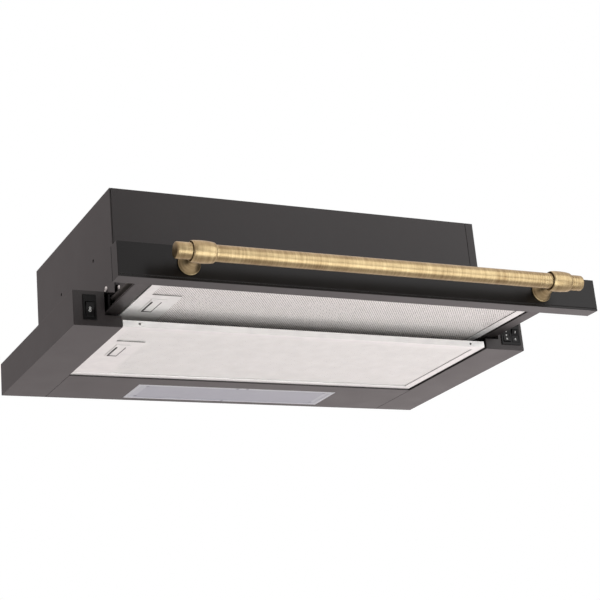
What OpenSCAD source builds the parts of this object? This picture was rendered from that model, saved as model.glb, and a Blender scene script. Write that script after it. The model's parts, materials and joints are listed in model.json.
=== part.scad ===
// Telescopic range hood for a 60 cm cabinet, drawn with its drawer pulled out.
// The origin is on the wall, at mid width, level with the underside.
// X runs to the right as seen from the room, Y towards the wall, Z up.

/* [Lower housing] */
// Width of the lower housing
housing_w = 595; // [590:1:620]
// Depth of the lower housing, from the wall to its front
housing_d = 291; // [280:1:310]
// Height of the lower housing
housing_h = 41; // [40:1:46]
// Thickness of the sheet steel
sheet = 1; // [0.8:0.1:1.1]
// Height of the lip along the inner edge of each arm
lip_h = 4; // [3.5:0.5:5]
// Depth of the lamp panel between the arms, at the wall
lamp_panel_d = 98; // [94:1:104]
// Depth of the closed switch box at the front of each arm
switch_box_d = 45; // [40:1:50]

/* [Casing] */
// Width of the ledge on each side of the casing
side_ledge = 51; // [49:0.5:56]
// Height of the upper casing
casing_h = 129; // [127:1:160]
// Distance of the casing behind the front of the lower housing
casing_setback = 4; // [3:0.5:8]
// Width of the folded strip beside the front panel
casing_strip = 11; // [9:0.5:14]
// Distance between the two fixing holes in each side
fixing_spacing = 122; // [100:1:130]
// Diameter of the fixing holes
fixing_hole_d = 4; // [3.5:0.5:5]

/* [Drawer] */
// Travel of the drawer
drawer_travel = 132; // [110:1:136]
// Height of the drawer's side walls
drawer_wall_h = 33; // [32:0.5:34]
// Depth of the drawer's front bar, from the fascia to the filter
front_bar_d = 14.5; // [12:0.5:18]
// Depth of the drawer's rear bar
rear_bar_d = 33; // [28:1:36]
// Distance that the fascia reaches past each end of the housing
fascia_lap = 2.5; // [1:0.5:8]
// Thickness of the fascia, front to back
fascia_t = 20; // [16:1:24]

/* [Runners] */
// Height of a ball runner
runner_h = 17; // [16:0.5:18]
// Diameter of the balls
ball_d = 3; // [2.5:0.1:3.2]
// Balls in each row
ball_count = 8; // [5:1:9]

/* [Grease filters] */
// Height of a filter
filter_h = 7.5; // [7.5:0.5:9]
// Width of the folded border
filter_border = 11; // [9:0.5:13]
// Sheet thickness of the filter's frame
filter_sheet = 0.8; // [0.6:0.1:0.9]
// Openings across the mesh
mesh_cols = 30; // [20:1:31]
// Openings from front to back of the mesh
mesh_rows = 5; // [3:1:5]
// Width of a strand of the mesh
strand_w = 2.4; // [1.6:0.1:3]
// Travel of the latch
latch_travel = 5.5; // [5.2:0.1:6]

/* [Handle] */
// Distance between the two posts
handle_span = 443; // [380:1:470]
// Diameter of the bar
bar_d = 18; // [14:0.5:19]
// Diameter of the barrels and of the posts' feet
barrel_d = 25.5; // [24:0.5:30]
// Length of a barrel
barrel_l = 26; // [22:0.5:30]
// Length of an end cap
cap_l = 17; // [12:0.5:24]
// Distance from the fascia to the middle of the bar
handle_reach = 36; // [32:0.5:45]

/* [Switches] */
// Height of the switch frames
bezel_h = 29; // [27:0.5:30]
// Width of the frame with one rocker
bezel_single_w = 15; // [14:0.5:18]
// Width of the frame with two rockers
bezel_double_w = 28; // [27:0.5:30]
// Height of a rocker
rocker_h = 17; // [15:0.5:19]
// Width of a rocker
rocker_w = 10; // [8:0.5:10.5]

/* [Lamp] */
// Width of the lamp's lens
lens_w = 280; // [200:1:340]
// Depth of the lamp's lens
lens_d = 62; // [50:1:68]
// Light sources on the board
led_count = 12; // [6:1:16]

/* [Blower] */
// Diameter of the impeller
impeller_d = 96; // [90:1:97]
// Length of the impeller
impeller_l = 100; // [80:1:110]
// Number of blades
blade_count = 32; // [24:1:36]
// Diameter of the motor
motor_d = 72; // [64:1:76]
// Length of the motor
motor_l = 48; // [40:1:56]
// Diameter of the shaft
shaft_d = 8; // [6:0.5:10]

/* [Duct collar] */
// Outer diameter of the collar
collar_d = 119; // [112:1:122]
// Length of the collar above its flange
collar_l = 25; // [20:1:40]

/* [Hidden] */
$fn = 64;
cut = 1;
seam = 0.3;

// Side to side, as distances from the middle
half = housing_w / 2;
casing_half = half - side_ledge;
casing_in = casing_half - sheet;
fascia_w = housing_w + 2 * fascia_lap;
drawer_gap = 1.9;
wall_out = casing_in - drawer_gap;
wall_in = wall_out - sheet;
arm_inset = 2.6;
arm_in = wall_out - arm_inset;
ball_play = 0.05;
race_t = 1.2;
race_r = ball_d / 2 + ball_play;
race_lead = 2.75;
cage_t = 0.6;
cage_gap = 0.6;
race_out_r = race_r + race_t;
ball_x = race_lead + race_out_r;
cage_x = ball_x + race_out_r + cage_gap / 2;
runner_w = cage_x + cage_t + cage_gap + race_t;
bracket_t = 1;
bracket_out = wall_out + runner_w + bracket_t;
horn_gap = 5;
horn_in = bracket_out + horn_gap;

// Front to back, with the wall at zero
front = -housing_d;
lamp_front = -lamp_panel_d;
stop_gap = 0.5;
fascia_back = front - drawer_travel - stop_gap;
fascia_front = fascia_back - fascia_t;
filter_play = 0.4;
filter_d = housing_d - lamp_panel_d - filter_play;
drawer_filter_front = fascia_back + front_bar_d;
drawer_rear = drawer_filter_front + filter_d + filter_play + rear_bar_d;
drawer_rear_in = drawer_rear + drawer_travel;
casing_front = front + casing_setback;

// Heights
top_plate = housing_h - sheet;
runner_drop = 0.3;
runner_z = top_plate - runner_drop - runner_h / 2;
flange_drop = 5.2;
drawer_z = runner_z - runner_h / 2 - flange_drop;
drawer_top = drawer_z + drawer_wall_h;
strip_drop = 4;
strip_h = drawer_z - strip_drop;
casing_top = housing_h + casing_h;
panel_gap = 1;
panel_bottom = drawer_top + panel_gap;
fascia_z = 3;
fascia_rise = 0.5;
fascia_top = housing_h + fascia_rise;

// Fixing holes in the casing's sides
fixing_rear = 98.5;
fixing_rise = 63;
fixing_z = housing_h + fixing_rise;
fixing_places = [-fixing_rear, -fixing_rear - fixing_spacing];

// Casing details
foot_w = 8;
foot_lap = 12;
tuck_w = 12;
left_cover = 1.5;
strip_seam = 0.4;
joggle_w = 8;
screw_d = 3;
screw_head_d = 7.5;
screw_head_h = 2.2;
screw_slot = 0.9;
screw_slot_depth = 0.8;
screw_l = 8;
screw_play = 0.1;
casing_screw_rise = 14;
casing_screw_set = 27;
casing_screw_rear = 40;
casing_screw_places = [casing_front + casing_screw_set, -casing_screw_rear];
casing_screw_z = housing_h + casing_screw_rise;
casing_tab_w = 16;
casing_tab_drop = 9;
rivet_d = 3.2;
rivet_head_d = 6;
rivet_head_h = 1.2;
rivet_count = 3;
rivet_margin = 40;

// Lamp details
lens_rear = 10;
lens_flange = 3;
lens_t = 1;
lens_flange_t = 1.2;
lens_inset = 6;
lens_recess = 0.5;
clip_w = 8;
clip_d = 3.4;
clip_t = 2;
clip_end_gap = 14;
lamp_flange_h = 14;
lamp_side_h = 4;
lamp_wall = 0.8;
lamp_h = 11;
board_t = 1.6;
board_margin = 22;
board_d = 18;
led_size = 5;
led_t = 0.8;
driver_x = -115;
driver_w = 70;
driver_d = 26;
driver_h = 12;
driver_gap = 0.8;

// Drawer details
flange_gap = 1.1;
flange_out = horn_in - flange_gap;
tray_inset = 0.3;
cover_rear_gap = 8;
cover_rear = front + casing_setback + cover_rear_gap;
cover_flange_h = 7.5;
cover_play = 0.1;
cover_screw_drop = 4.5;
cover_screw_set = 6.5;
cover_screw_front = 22;
cover_screw_places = [casing_front - cover_screw_set, fascia_back + cover_screw_front];
cover_screw_z = drawer_top - cover_screw_drop;
cover_screw_head_h = 1.5;
cover_screw_head_d = 6.5;
cover_screw_l = 5;
hem_h = 2.6;
hem_groove = 0.6;
hem_depth = 0.35;

// Runner details
cage_rear_gap = 10;
outer_front = front + 2 * sheet;
outer_rear_gap = 5;
outer_rear = drawer_rear_in + outer_rear_gap;
inner_front_gap = 2.5;
inner_front = fascia_back + inner_front_gap;
cage_set = 8;
cage_front = front + cage_set;
cage_l = drawer_rear - cage_front - cage_rear_gap;
ball_z = runner_h / 2 - race_out_r;
race_angle = 25;
cage_lead = 0.3;
ball_margin = 6;
ball_pitch = (cage_l - 2 * ball_margin) / (ball_count - 1);
ball_hole_play = 0.1;
bracket_drop = 1.7;
lug_w = 12;
lug_l = 20;
lug_front = 14;
lug_rear = 24;

// Filter details
fixed_filter_z = 1.5;
filter_left_gap = 0.8;
filter_right_gap = 3.2;
filter_left = -arm_in + filter_left_gap;
filter_w = 2 * arm_in - filter_left_gap - filter_right_gap;
filter_back_lip = 8;
bead_r = 0.75;
mesh_t = 1;
mesh_play = 0.3;
mesh_edge = 2;
bolt_rise = 2.8;
bolt_t = 1.7;
bolt_reach = 4.5;
bolt_w = 13;
bolt_play = 0.3;
latch_v = 88.5;
latch_plate_w = 36;
latch_plate_front = 34;
latch_t = 1.7;
latch_gap = 0.3;
latch_l = 46;
pad_u = 16;
pad_w = 18;
pad_l = 43;
pad_t = 0.6;
pad_gap = 0.15;
slot_u = 18;
slot_w = 1.8;
slot_front = 14.5;
slot_l = 26;
slit_w = 0.6;
slit_u = 29.4;
slit_l = 34.5;
stem_u = 21;
stem_w = 6;
stem_l = 24;
slider_start = 4;
slider_end = 33;
guide_t = 1.4;
guide_lap = 2;
spring_stop = 44;
stop_w = 1.5;
stop_l = 9;
stop_h = 4.4;
spring_wire = 0.7;
spring_d = 4;
spring_turns = 6;
spring_steps = 10;
spring_sides = 6;
spring_margin = 0.35;
tab_w = 20;
tab_front = 45;
tab_rear = 42.6;
tab_places = [tab_front, filter_d - tab_rear];
tab_slot_play = 0.3;
latch_clear = 3;
wall_hole_d = 3;
wall_hole_inset = 20;

// Handle details
handle_z = 21.6;
handle_y = fascia_front - handle_reach;
post_foot_t = 2.5;
post_neck_d = 13;
post_ledge = 0.8;
flare_power = 2.4;
flare_steps = 12;
bar_play = 0.1;
mouth_w = 1.4;
mouth_t = 3;
mouth_rim = 0.6;
barrel_end_lip = 0.4;
crown_share = 0.43;
crown_power = 2.4;
barrel_steps = 12;
cap_groove_w = 0.7;
cap_groove_depth = 0.5;
cap_groove_places = [1.5, 5.5];
cap_dome_r = 4;
cap_dome_angle = 15;
bar_ring_w = 0.8;
bar_ring_depth = 0.4;
bar_ring_gap = 3.2;
bar_ring_count = 5;
handle_screw_d = 3.5;
handle_screw_head_d = 5.4;
handle_screw_head_h = 2;
handle_screw_l = 9;
handle_thread_l = 8;

// Switch details
bezel_rise = 7;
bezel_proud = 1.5;
bezel_left_inset = 11.5;
bezel_right_inset = 4.5;
bezel_rim = 0.8;
body_d = 20;
body_inset = 1.2;
rocker_bottom = 3.5;
rocker_proud = 1.2;
rocker_play = 0.4;
rocker_depth = 7;
rocker_angle = 8;
rocker_pin_d = 2;
rocker_pin_l = 1.2;
rocker_pin_play = 0.05;
rocker_gap = 3.2;
terminal_w = 4.8;
terminal_t = 0.8;
terminal_l = 8;
terminal_gap = 7;

// Drawer switch details
micro_w = 10;
micro_l = 26;
micro_h = 15;
micro_side = 2;
micro_hole_front = 8.5;
micro_hole_rear = 21;
micro_hole_rise = 4;
plunger_w = 4;
plunger_h = 2;
plunger_out = 3;
plunger_in = 5;
plunger_play = 0.1;
plunger_travel = 1.5;
plunger_gap = 0.3;
plunger_drop = 4;
micro_tab_h = 7;

// Blower details
blower_y = -106;
scroll_wall = 1.5;
scroll_gap = 2.5;
scroll_r = impeller_d / 2 + scroll_gap + scroll_wall;
scroll_growth = 12;
scroll_side_gap = 9;
scroll_half = impeller_l / 2 + scroll_side_gap + scroll_wall;
scroll_steps = 36;
scroll_angle = 270;
blower_lift = 2.5;
scroll_low_r = scroll_r + scroll_growth * 180 / scroll_angle;
blower_z = drawer_top + blower_lift + scroll_low_r;
duct_y = -141;
outlet_d = 58;
outlet_flange = 130;
outlet_flange_t = 1.5;
inlet_r = 35;
bell_r = 4;
bell_t = 1.2;
blade_in_share = 0.79;
blade_t = 1;
blade_angle = 14;
blade_points = 5;
ring_w = 3.5;
ring_t = 2;
disc_t = 1.6;
hub_d = 20;
hub_l = 24;
shaft_left = 14;
shaft_play = 0.05;
motor_gap = 8;
motor_x = scroll_half + motor_gap;
motor_cap_d = 30;
motor_cap_l = 5;
bracket_ring_t = 2.4;
bracket_ring_l = 4;
bracket_ring_set = 10;
bracket_ring_x = motor_x + bracket_ring_set;
leg_count = 3;
leg_angle = 30;
leg_r = 44;
leg_d = 6;
leg_w = 8;
grommet_d = 10;
grommet_t = 3;
fin_count = 24;
fin_depth = 1;
fin_w = 2.4;

// Electrical parts on the casing's back wall
cap_can_d = 28;
cap_can_l = 46;
cap_can_side = 81.5;
cap_can_x = casing_half - cap_can_side;
cap_can_drop = 20;
cap_can_z = casing_top - cap_can_drop;
clamp_t = 1.2;
clamp_w = 12;
box_w = 80;
box_h = 46;
box_t = 30;
box_wall = 2;
box_side = 61.5;
box_x = -casing_half + box_side;
box_drop = 65;
box_z = casing_top - box_drop;
box_lid_t = 2;
gland_side = 46.5;
gland_x = -casing_half + gland_side;
gland_rear = 35;
gland_y = -gland_rear;
gland_d = 14;
gland_flange_d = 20;
gland_flange_t = 2;
gland_h = 9;
gland_bore_d = 7.5;

// Duct collar details
collar_wall = 2;
collar_flange_lap = 14.5;
collar_flange_d = collar_d + 2 * collar_flange_lap;
collar_flange_t = 3;
collar_screw_out = 9.5;
collar_screw_pcd = collar_d + 2 * collar_screw_out;
collar_screw_count = 4;
duct_hole_gap = 2;
ledge_w = 4;
ledge_t = 2;
flap_t = 1.4;
flap_play = 1;
flap_gap = 0.3;
flap_pin_d = 3;
flap_pin_play = 0.05;
flap_pin_off = 3.5;
ear_w = 4;
ear_t = 8;
ear_inset = 0.2;
knuckle_d = 5;

steel_black = "#3f3c3b";
steel_zinc = "#b9b9b6";
filter_silver = "#d8d4d0";
antique_brass = "#b8965e";
plastic_black = "#2b2a29";
plastic_white = "#d9d8d6";
plastic_grey = "#8d8f92";
rubber_black = "#1d1c1c";

// A box between two corners
module block(low, high) {
    translate(low)
        cube(high - low);
}

// The same shape on the right and on the left
module both_sides() {
    children();
    mirror([1, 0, 0])
        children();
}

// A round bar along X from x0 to x1
module bar_x(d, x0, x1, y, z) {
    translate([x0, y, z])
        rotate([0, 90, 0])
            cylinder(d = d, h = x1 - x0);
}

// A round bar along Y from y0 to y1
module bar_y(d, y0, y1, x, z) {
    translate([x, y0, z])
        rotate([-90, 0, 0])
            cylinder(d = d, h = y1 - y0);
}

// A round bar along Z from z0 to z1
module bar_z(d, z0, z1, x, y) {
    translate([x, y, z0])
        cylinder(d = d, h = z1 - z0);
}

// A flat profile in X and Z, carried along Y from y0 to y1
module along_y(y0, y1) {
    translate([0, y1, 0])
        rotate([90, 0, 0])
            linear_extrude(y1 - y0)
                children();
}

// A flat profile in Y and Z, carried along X from x0 to x1
module along_x(x0, x1) {
    translate([x0, 0, 0])
        rotate([90, 0, 90])
            linear_extrude(x1 - x0)
                children();
}

// A screw that enters along -Z at the origin, with a slotted low dome head
module screw(d, length, head_d, head_h) {
    dome_r = (pow(head_d / 2, 2) + pow(head_h, 2)) / (2 * head_h);
    difference() {
        union() {
            translate([0, 0, -length])
                cylinder(d = d, h = length);
            intersection() {
                cylinder(d = head_d, h = head_h);
                translate([0, 0, head_h - dome_r])
                    sphere(r = dome_r);
            }
        }
        for (turn = [0, 90])
            rotate([0, 0, turn])
                translate([-head_d / 4, -screw_slot / 2, head_h - screw_slot_depth])
                    cube([head_d / 2, screw_slot, screw_slot_depth + cut]);
    }
}

/* The lower housing and the lamp */

// The switch places: middle of each frame
light_x = -(half - bezel_left_inset - bezel_single_w / 2);
fan_x = half - bezel_right_inset - bezel_double_w / 2;
bezel_top = bezel_rise + bezel_h;

module switch_hole(x, w) {
    block([x - w / 2 + body_inset, front - cut, bezel_rise + body_inset],
          [x + w / 2 - body_inset, front + sheet + cut, bezel_top - body_inset]);
}

module lower_housing() {
    color(steel_black)
    difference() {
        union() {
            both_sides() {
                block([half - sheet, front, 0], [half, 0, housing_h]);
                block([arm_in, front, 0], [half, 0, sheet]);
                block([arm_in, front, 0], [arm_in + sheet, 0, lip_h]);
                block([horn_in, front, 0], [half, front + sheet, housing_h]);
                block([arm_in, front, 0], [horn_in + sheet, front + sheet, strip_h]);
                block([horn_in, front, 0], [horn_in + sheet, front + switch_box_d, housing_h]);
                block([casing_in, front, top_plate], [half, 0, housing_h]);
            }
            block([-half, -sheet, 0], [half, 0, housing_h]);
            block([-half, -foot_lap, top_plate], [half, 0, housing_h]);
        }
        switch_hole(light_x, bezel_single_w);
        switch_hole(fan_x, bezel_double_w);
        rivets(rivet_d + 2 * screw_play, cut);
    }
}

// The lens and the opening that holds it
lens_back = -lens_rear;
lens_front = lens_back - lens_d;

module lamp_panel() {
    edge = arm_in - seam;
    color(steel_black)
    difference() {
        union() {
            block([-edge, lamp_front, 0], [edge, -sheet - seam, sheet]);
            block([-edge, lamp_front, 0], [edge, lamp_front + sheet, lamp_flange_h]);
            both_sides()
                block([edge - sheet, lamp_front, 0], [edge, -sheet - seam, lamp_side_h]);
        }
        block([-lens_w / 2 - seam, lens_front - seam, -cut], [lens_w / 2 + seam, lens_back + seam, sheet + cut]);
    }
}

module lamp_lens() {
    color(plastic_white, 0.6)
    difference() {
        union() {
            block([-lens_w / 2, lens_front, 0], [lens_w / 2, lens_back, sheet + lens_flange_t]);
            block([-lens_w / 2 - lens_flange, lens_front - lens_flange, sheet],
                  [lens_w / 2 + lens_flange, lens_back + lens_flange, sheet + lens_flange_t]);
        }
        block([-lens_w / 2 + lens_inset, lens_front + lens_inset, lens_t],
              [lens_w / 2 - lens_inset, lens_back - lens_inset, sheet + lens_flange_t + cut]);
        block([-lens_w / 2 + lens_inset, lens_front + lens_inset, -cut],
              [lens_w / 2 - lens_inset, lens_back - lens_inset, lens_recess]);
    }
}

// Snap clips that hold the lens on top of the panel, at the corners and in the middle
clip_reach = lens_w / 2 - clip_end_gap;
clip_places = [-clip_reach, 0, clip_reach];

module lens_clips() {
    floor_z = sheet + lens_flange_t;
    edge = lens_flange + clip_d / 2;
    color(plastic_white)
    for (x = clip_places)
        for (y = [lens_front - edge, lens_back + edge]) {
            block([x - clip_w / 2, y - clip_d / 2 + seam, sheet], [x + clip_w / 2, y + clip_d / 2 - seam, floor_z]);
            block([x - clip_w / 2, y - clip_d / 2, floor_z], [x + clip_w / 2, y + clip_d / 2, floor_z + clip_t]);
        }
}

reflector_floor = sheet + lens_flange_t;
reflector_top = reflector_floor + lamp_h;

module lamp_reflector() {
    half_w = lens_w / 2 - lens_inset;
    y0 = lens_front + lens_inset;
    y1 = lens_back - lens_inset;
    color(plastic_white)
    difference() {
        block([-half_w, y0, reflector_floor], [half_w, y1, reflector_top]);
        block([-half_w + lamp_wall, y0 + lamp_wall, reflector_floor - cut],
              [half_w - lamp_wall, y1 - lamp_wall, reflector_top - lamp_wall]);
    }
}

board_z = reflector_top - lamp_wall - board_t;
board_y = (lens_front + lens_back) / 2;
board_w = lens_w - 2 * lens_inset - board_margin;

module led_board() {
    pitch = board_w / led_count;
    color(plastic_white)
    union() {
        block([-board_w / 2, board_y - board_d / 2, board_z],
              [board_w / 2, board_y + board_d / 2, board_z + board_t]);
        for (i = [0 : led_count - 1])
            translate([(i + 0.5) * pitch - board_w / 2, board_y, board_z - led_t])
                linear_extrude(led_t + board_t / 2)
                    square(led_size, center = true);
    }
}

// The lamp's driver, on the back wall above the reflector
module led_driver() {
    low = reflector_top + driver_gap;
    color(plastic_black)
    block([driver_x - driver_w / 2, -sheet - driver_d, low], [driver_x + driver_w / 2, -sheet, low + driver_h]);
}

/* The casing */

module rivets(d, extra) {
    run = -front - casing_setback - 2 * rivet_margin;
    both_sides()
        for (i = [0 : rivet_count - 1])
            bar_z(d, top_plate - extra, housing_h + sheet + extra, casing_half + foot_w / 2,
                  -rivet_margin - run * i / (rivet_count - 1));
}

module foot_rivets() {
    run = -front - casing_setback - 2 * rivet_margin;
    color(steel_zinc)
    both_sides()
        for (i = [0 : rivet_count - 1])
            translate([casing_half + foot_w / 2, -rivet_margin - run * i / (rivet_count - 1), housing_h + sheet])
                union() {
                    translate([0, 0, -2 * sheet])
                        cylinder(d = rivet_d, h = 2 * sheet);
                    cylinder(d1 = rivet_head_d, d2 = rivet_d, h = rivet_head_h);
                }
}

module casing_shell() {
    color(steel_black)
    difference() {
        union() {
            both_sides() {
                block([casing_in, casing_front, housing_h], [casing_half, 0, casing_top]);
                block([casing_in, casing_front, housing_h], [casing_half + foot_w, 0, housing_h + sheet]);
                block([casing_in - casing_tab_w, casing_front + sheet + seam, casing_top - casing_tab_drop],
                      [casing_in, casing_front + 2 * sheet, casing_top]);
            }
            block([casing_half - casing_strip, casing_front, panel_bottom],
                  [casing_half, casing_front + sheet, casing_top]);
            block([-casing_half, casing_front + sheet, panel_bottom],
                  [-casing_half + casing_strip, casing_front + 2 * sheet, casing_top]);
            block([-casing_half, casing_front, panel_bottom],
                  [-casing_half + sheet, casing_front + 2 * sheet, casing_top]);
            block([-casing_half, -sheet, housing_h], [casing_half, 0, casing_top]);
            block([-casing_half, casing_front + sheet + seam, casing_top - sheet], [casing_half, 0, casing_top]);
        }
        for (y = fixing_places)
            bar_x(fixing_hole_d, -casing_half - cut, casing_half + cut, y, fixing_z);
        for (y = casing_screw_places)
            bar_x(screw_d + 2 * screw_play, -casing_half - cut, casing_half + cut, y, casing_screw_z);
        rivets(rivet_d + 2 * screw_play, cut);
        bar_z(collar_d - 2 * collar_wall - 2 * duct_hole_gap, casing_top - sheet - cut, casing_top + cut,
              0, duct_y);
        bar_z(gland_d + 2 * screw_play, casing_top - sheet - cut, casing_top + cut, gland_x, gland_y);
        collar_screw_holes(screw_d + 2 * screw_play);
    }
}

module front_panel() {
    right = casing_half - casing_strip - strip_seam;
    left = -casing_half + left_cover;
    color(steel_black)
    union() {
        block([left, casing_front, panel_bottom], [right, casing_front + sheet, casing_top]);
        block([-casing_half + casing_strip + seam, casing_front, panel_bottom],
              [right - joggle_w, casing_front + tuck_w, panel_bottom + sheet]);
    }
}

module casing_screws() {
    color(steel_zinc)
    both_sides()
        for (y = casing_screw_places)
            translate([casing_half, y, casing_screw_z])
                rotate([0, 90, 0])
                    screw(screw_d, screw_l, screw_head_d, screw_head_h);
}

/* The drawer */

module drawer_side() {
    block([wall_in, fascia_front + sheet, drawer_z], [wall_out, drawer_rear, fascia_top - sheet - tray_inset]);
    block([wall_in, fascia_back + tray_inset, drawer_z], [wall_out, drawer_rear, drawer_top]);
    block([wall_in, fascia_front + sheet, drawer_z], [flange_out, drawer_rear, drawer_z + sheet]);
}

bolt_low = drawer_z + bolt_rise;

module drawer_slot(x0, x1, v, w) {
    block([x0, drawer_filter_front + v - w / 2 - tab_slot_play, bolt_low - bolt_play],
          [x1, drawer_filter_front + v + w / 2 + tab_slot_play, bolt_low + bolt_t + bolt_play]);
}

micro_x = flange_out - micro_w / 2 + seam;
micro_tab_back = drawer_rear - micro_side;

module drawer_frame() {
    rear_front = drawer_filter_front + filter_d + filter_play;
    color(steel_black)
    difference() {
        union() {
            both_sides()
                drawer_side();
            block([-wall_out, fascia_front + sheet, drawer_z],
                  [wall_out, drawer_filter_front - filter_play, drawer_z + sheet]);
            block([-wall_out, fascia_front + sheet, drawer_z],
                  [wall_out, fascia_front + 2 * sheet, fascia_top - sheet - tray_inset]);
            block([-wall_out, rear_front, drawer_z], [wall_out, drawer_rear, drawer_z + sheet]);
            block([-wall_out, drawer_rear - sheet, drawer_z], [wall_out, drawer_rear, drawer_top]);
            block([micro_x - micro_w / 2, micro_tab_back - sheet, drawer_z - micro_tab_h],
                  [micro_x + micro_w / 2 - seam, micro_tab_back, drawer_z + sheet]);
        }
        drawer_slot(-wall_out - cut, -wall_in + cut, latch_v, bolt_w);
        for (v = tab_places)
            drawer_slot(wall_in - cut, wall_out + cut, v, tab_w);
        for (y = cover_screw_places)
            bar_x(screw_d + 2 * screw_play, -wall_out - cut, wall_out + cut, y, cover_screw_z);
        both_sides()
            bar_y(handle_screw_d + 2 * screw_play, fascia_front, fascia_front + 2 * sheet + cut,
                  handle_span / 2, handle_z);
    }
}

module drawer_cover() {
    edge = wall_in - cover_play;
    front_y = fascia_back + tray_inset;
    color(steel_black)
    difference() {
        union() {
            block([-edge, front_y, drawer_top - sheet], [edge, cover_rear, drawer_top]);
            block([-edge, front_y, fascia_top + tray_inset], [edge, front_y + sheet, drawer_top]);
            both_sides()
                block([edge - sheet, front_y, drawer_top - cover_flange_h], [edge, cover_rear, drawer_top]);
        }
        for (y = cover_screw_places)
            bar_x(screw_d + 2 * screw_play, -wall_out, wall_out, y, cover_screw_z);
    }
}

module cover_screws() {
    color(steel_zinc)
    both_sides()
        for (y = cover_screw_places)
            translate([wall_out, y, cover_screw_z])
                rotate([0, 90, 0])
                    screw(screw_d, cover_screw_l, cover_screw_head_d, cover_screw_head_h);
}

module fascia() {
    color(steel_black)
    difference() {
        block([-fascia_w / 2, fascia_front, fascia_z], [fascia_w / 2, fascia_back, fascia_top]);
        block([-fascia_w / 2 + sheet, fascia_front + sheet, fascia_z + sheet],
              [fascia_w / 2 - sheet, fascia_back + cut, fascia_top - sheet]);
        block([-fascia_w / 2 - cut, fascia_front - cut, fascia_z + hem_h],
              [fascia_w / 2 + cut, fascia_front + hem_depth, fascia_z + hem_h + hem_groove]);
        both_sides() {
            block([fascia_w / 2 - hem_depth, fascia_back - hem_h - hem_groove, fascia_z - cut],
                  [fascia_w / 2 + cut, fascia_back - hem_h, fascia_top + cut]);
            bar_y(handle_screw_d + 2 * screw_play, fascia_front - cut, fascia_front + sheet + cut,
                  handle_span / 2, handle_z);
        }
    }
}

/* The ball runners, drawn for the right side with X from the drawer's wall */

// Half ring that a row of balls rolls in, open towards the other member
module race(open_down) {
    spread = 3 * race_out_r;
    turn = open_down ? 0 : 180;
    translate([ball_x, ball_z])
        rotate(turn)
            difference() {
                circle(r = race_out_r);
                circle(r = race_r);
                polygon([[0, 0], [spread * cos(race_angle), spread * sin(race_angle)], [spread, -spread],
                         [-spread, -spread], [-spread * cos(race_angle), spread * sin(race_angle)]]);
            }
}

module outer_profile() {
    for (flip = [0, 1])
        mirror([0, flip])
            union() {
                race(true);
                translate([ball_x, runner_h / 2 - race_t])
                    square([runner_w - ball_x, race_t]);
                translate([runner_w - race_t, 0])
                    square([race_t, runner_h / 2]);
            }
}

module inner_profile() {
    foot_z = ball_z - race_out_r;
    for (flip = [0, 1])
        mirror([0, flip])
            union() {
                race(false);
                translate([0, foot_z])
                    square([ball_x, race_t]);
                square([race_t, foot_z + race_t]);
            }
}

module cage_profile() {
    lead = ball_x - race_r - cage_lead;
    for (flip = [0, 1])
        mirror([0, flip])
            union() {
                translate([lead, ball_z - cage_t / 2])
                    square([cage_x + cage_t - lead, cage_t]);
                translate([cage_x, 0])
                    square([cage_t, ball_z + cage_t / 2]);
            }
}

module on_right(z) {
    translate([wall_out, 0, z])
        children();
}

module runner_outer() {
    color(steel_zinc)
    on_right(runner_z)
        along_y(outer_front, outer_rear)
            outer_profile();
}

module runner_inner() {
    color(steel_zinc)
    on_right(runner_z)
        along_y(inner_front, drawer_rear)
            inner_profile();
}

function ball_y(i) = cage_front + ball_margin + i * ball_pitch;

module ball_cage() {
    color(steel_zinc)
    on_right(runner_z)
        difference() {
            along_y(cage_front, cage_front + cage_l)
                cage_profile();
            for (i = [0 : ball_count - 1])
                bar_z(ball_d + 2 * ball_hole_play, -runner_h / 2, runner_h / 2, ball_x, ball_y(i));
        }
}

module ball_rows() {
    color(steel_zinc)
    on_right(runner_z)
        for (i = [0 : ball_count - 1])
            for (z = [-ball_z, ball_z])
                translate([ball_x, ball_y(i), z])
                    sphere(d = ball_d, $fn = 24);
}

lug_places = [front + switch_box_d + lug_front, outer_rear - lug_rear - lug_l];

module runner_brackets() {
    low = runner_z - runner_h / 2 - bracket_drop;
    color(steel_zinc)
    both_sides()
        union() {
            block([bracket_out - bracket_t, outer_front, low], [bracket_out, outer_rear, top_plate]);
            for (y = lug_places)
                block([bracket_out - bracket_t, y, top_plate - bracket_t],
                      [bracket_out + lug_w, y + lug_l, top_plate]);
        }
}

/* The grease filters, drawn with the front left lower corner at the origin */

latch_low = filter_sheet + latch_gap;
latch_top = latch_low + latch_t;
mesh_low = filter_sheet;
window_u = slot_u - latch_gap;
window_end = stem_u + stem_w + latch_travel + latch_gap;
window_v0 = latch_v - slot_front - latch_gap;
window_v1 = latch_v + stem_l / 2 + latch_gap;
cut_u = filter_border + latch_plate_w + latch_clear;
cut_v0 = latch_v - latch_plate_front - latch_clear;
tab_out = filter_right_gap + sheet + latch_clear;

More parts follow.
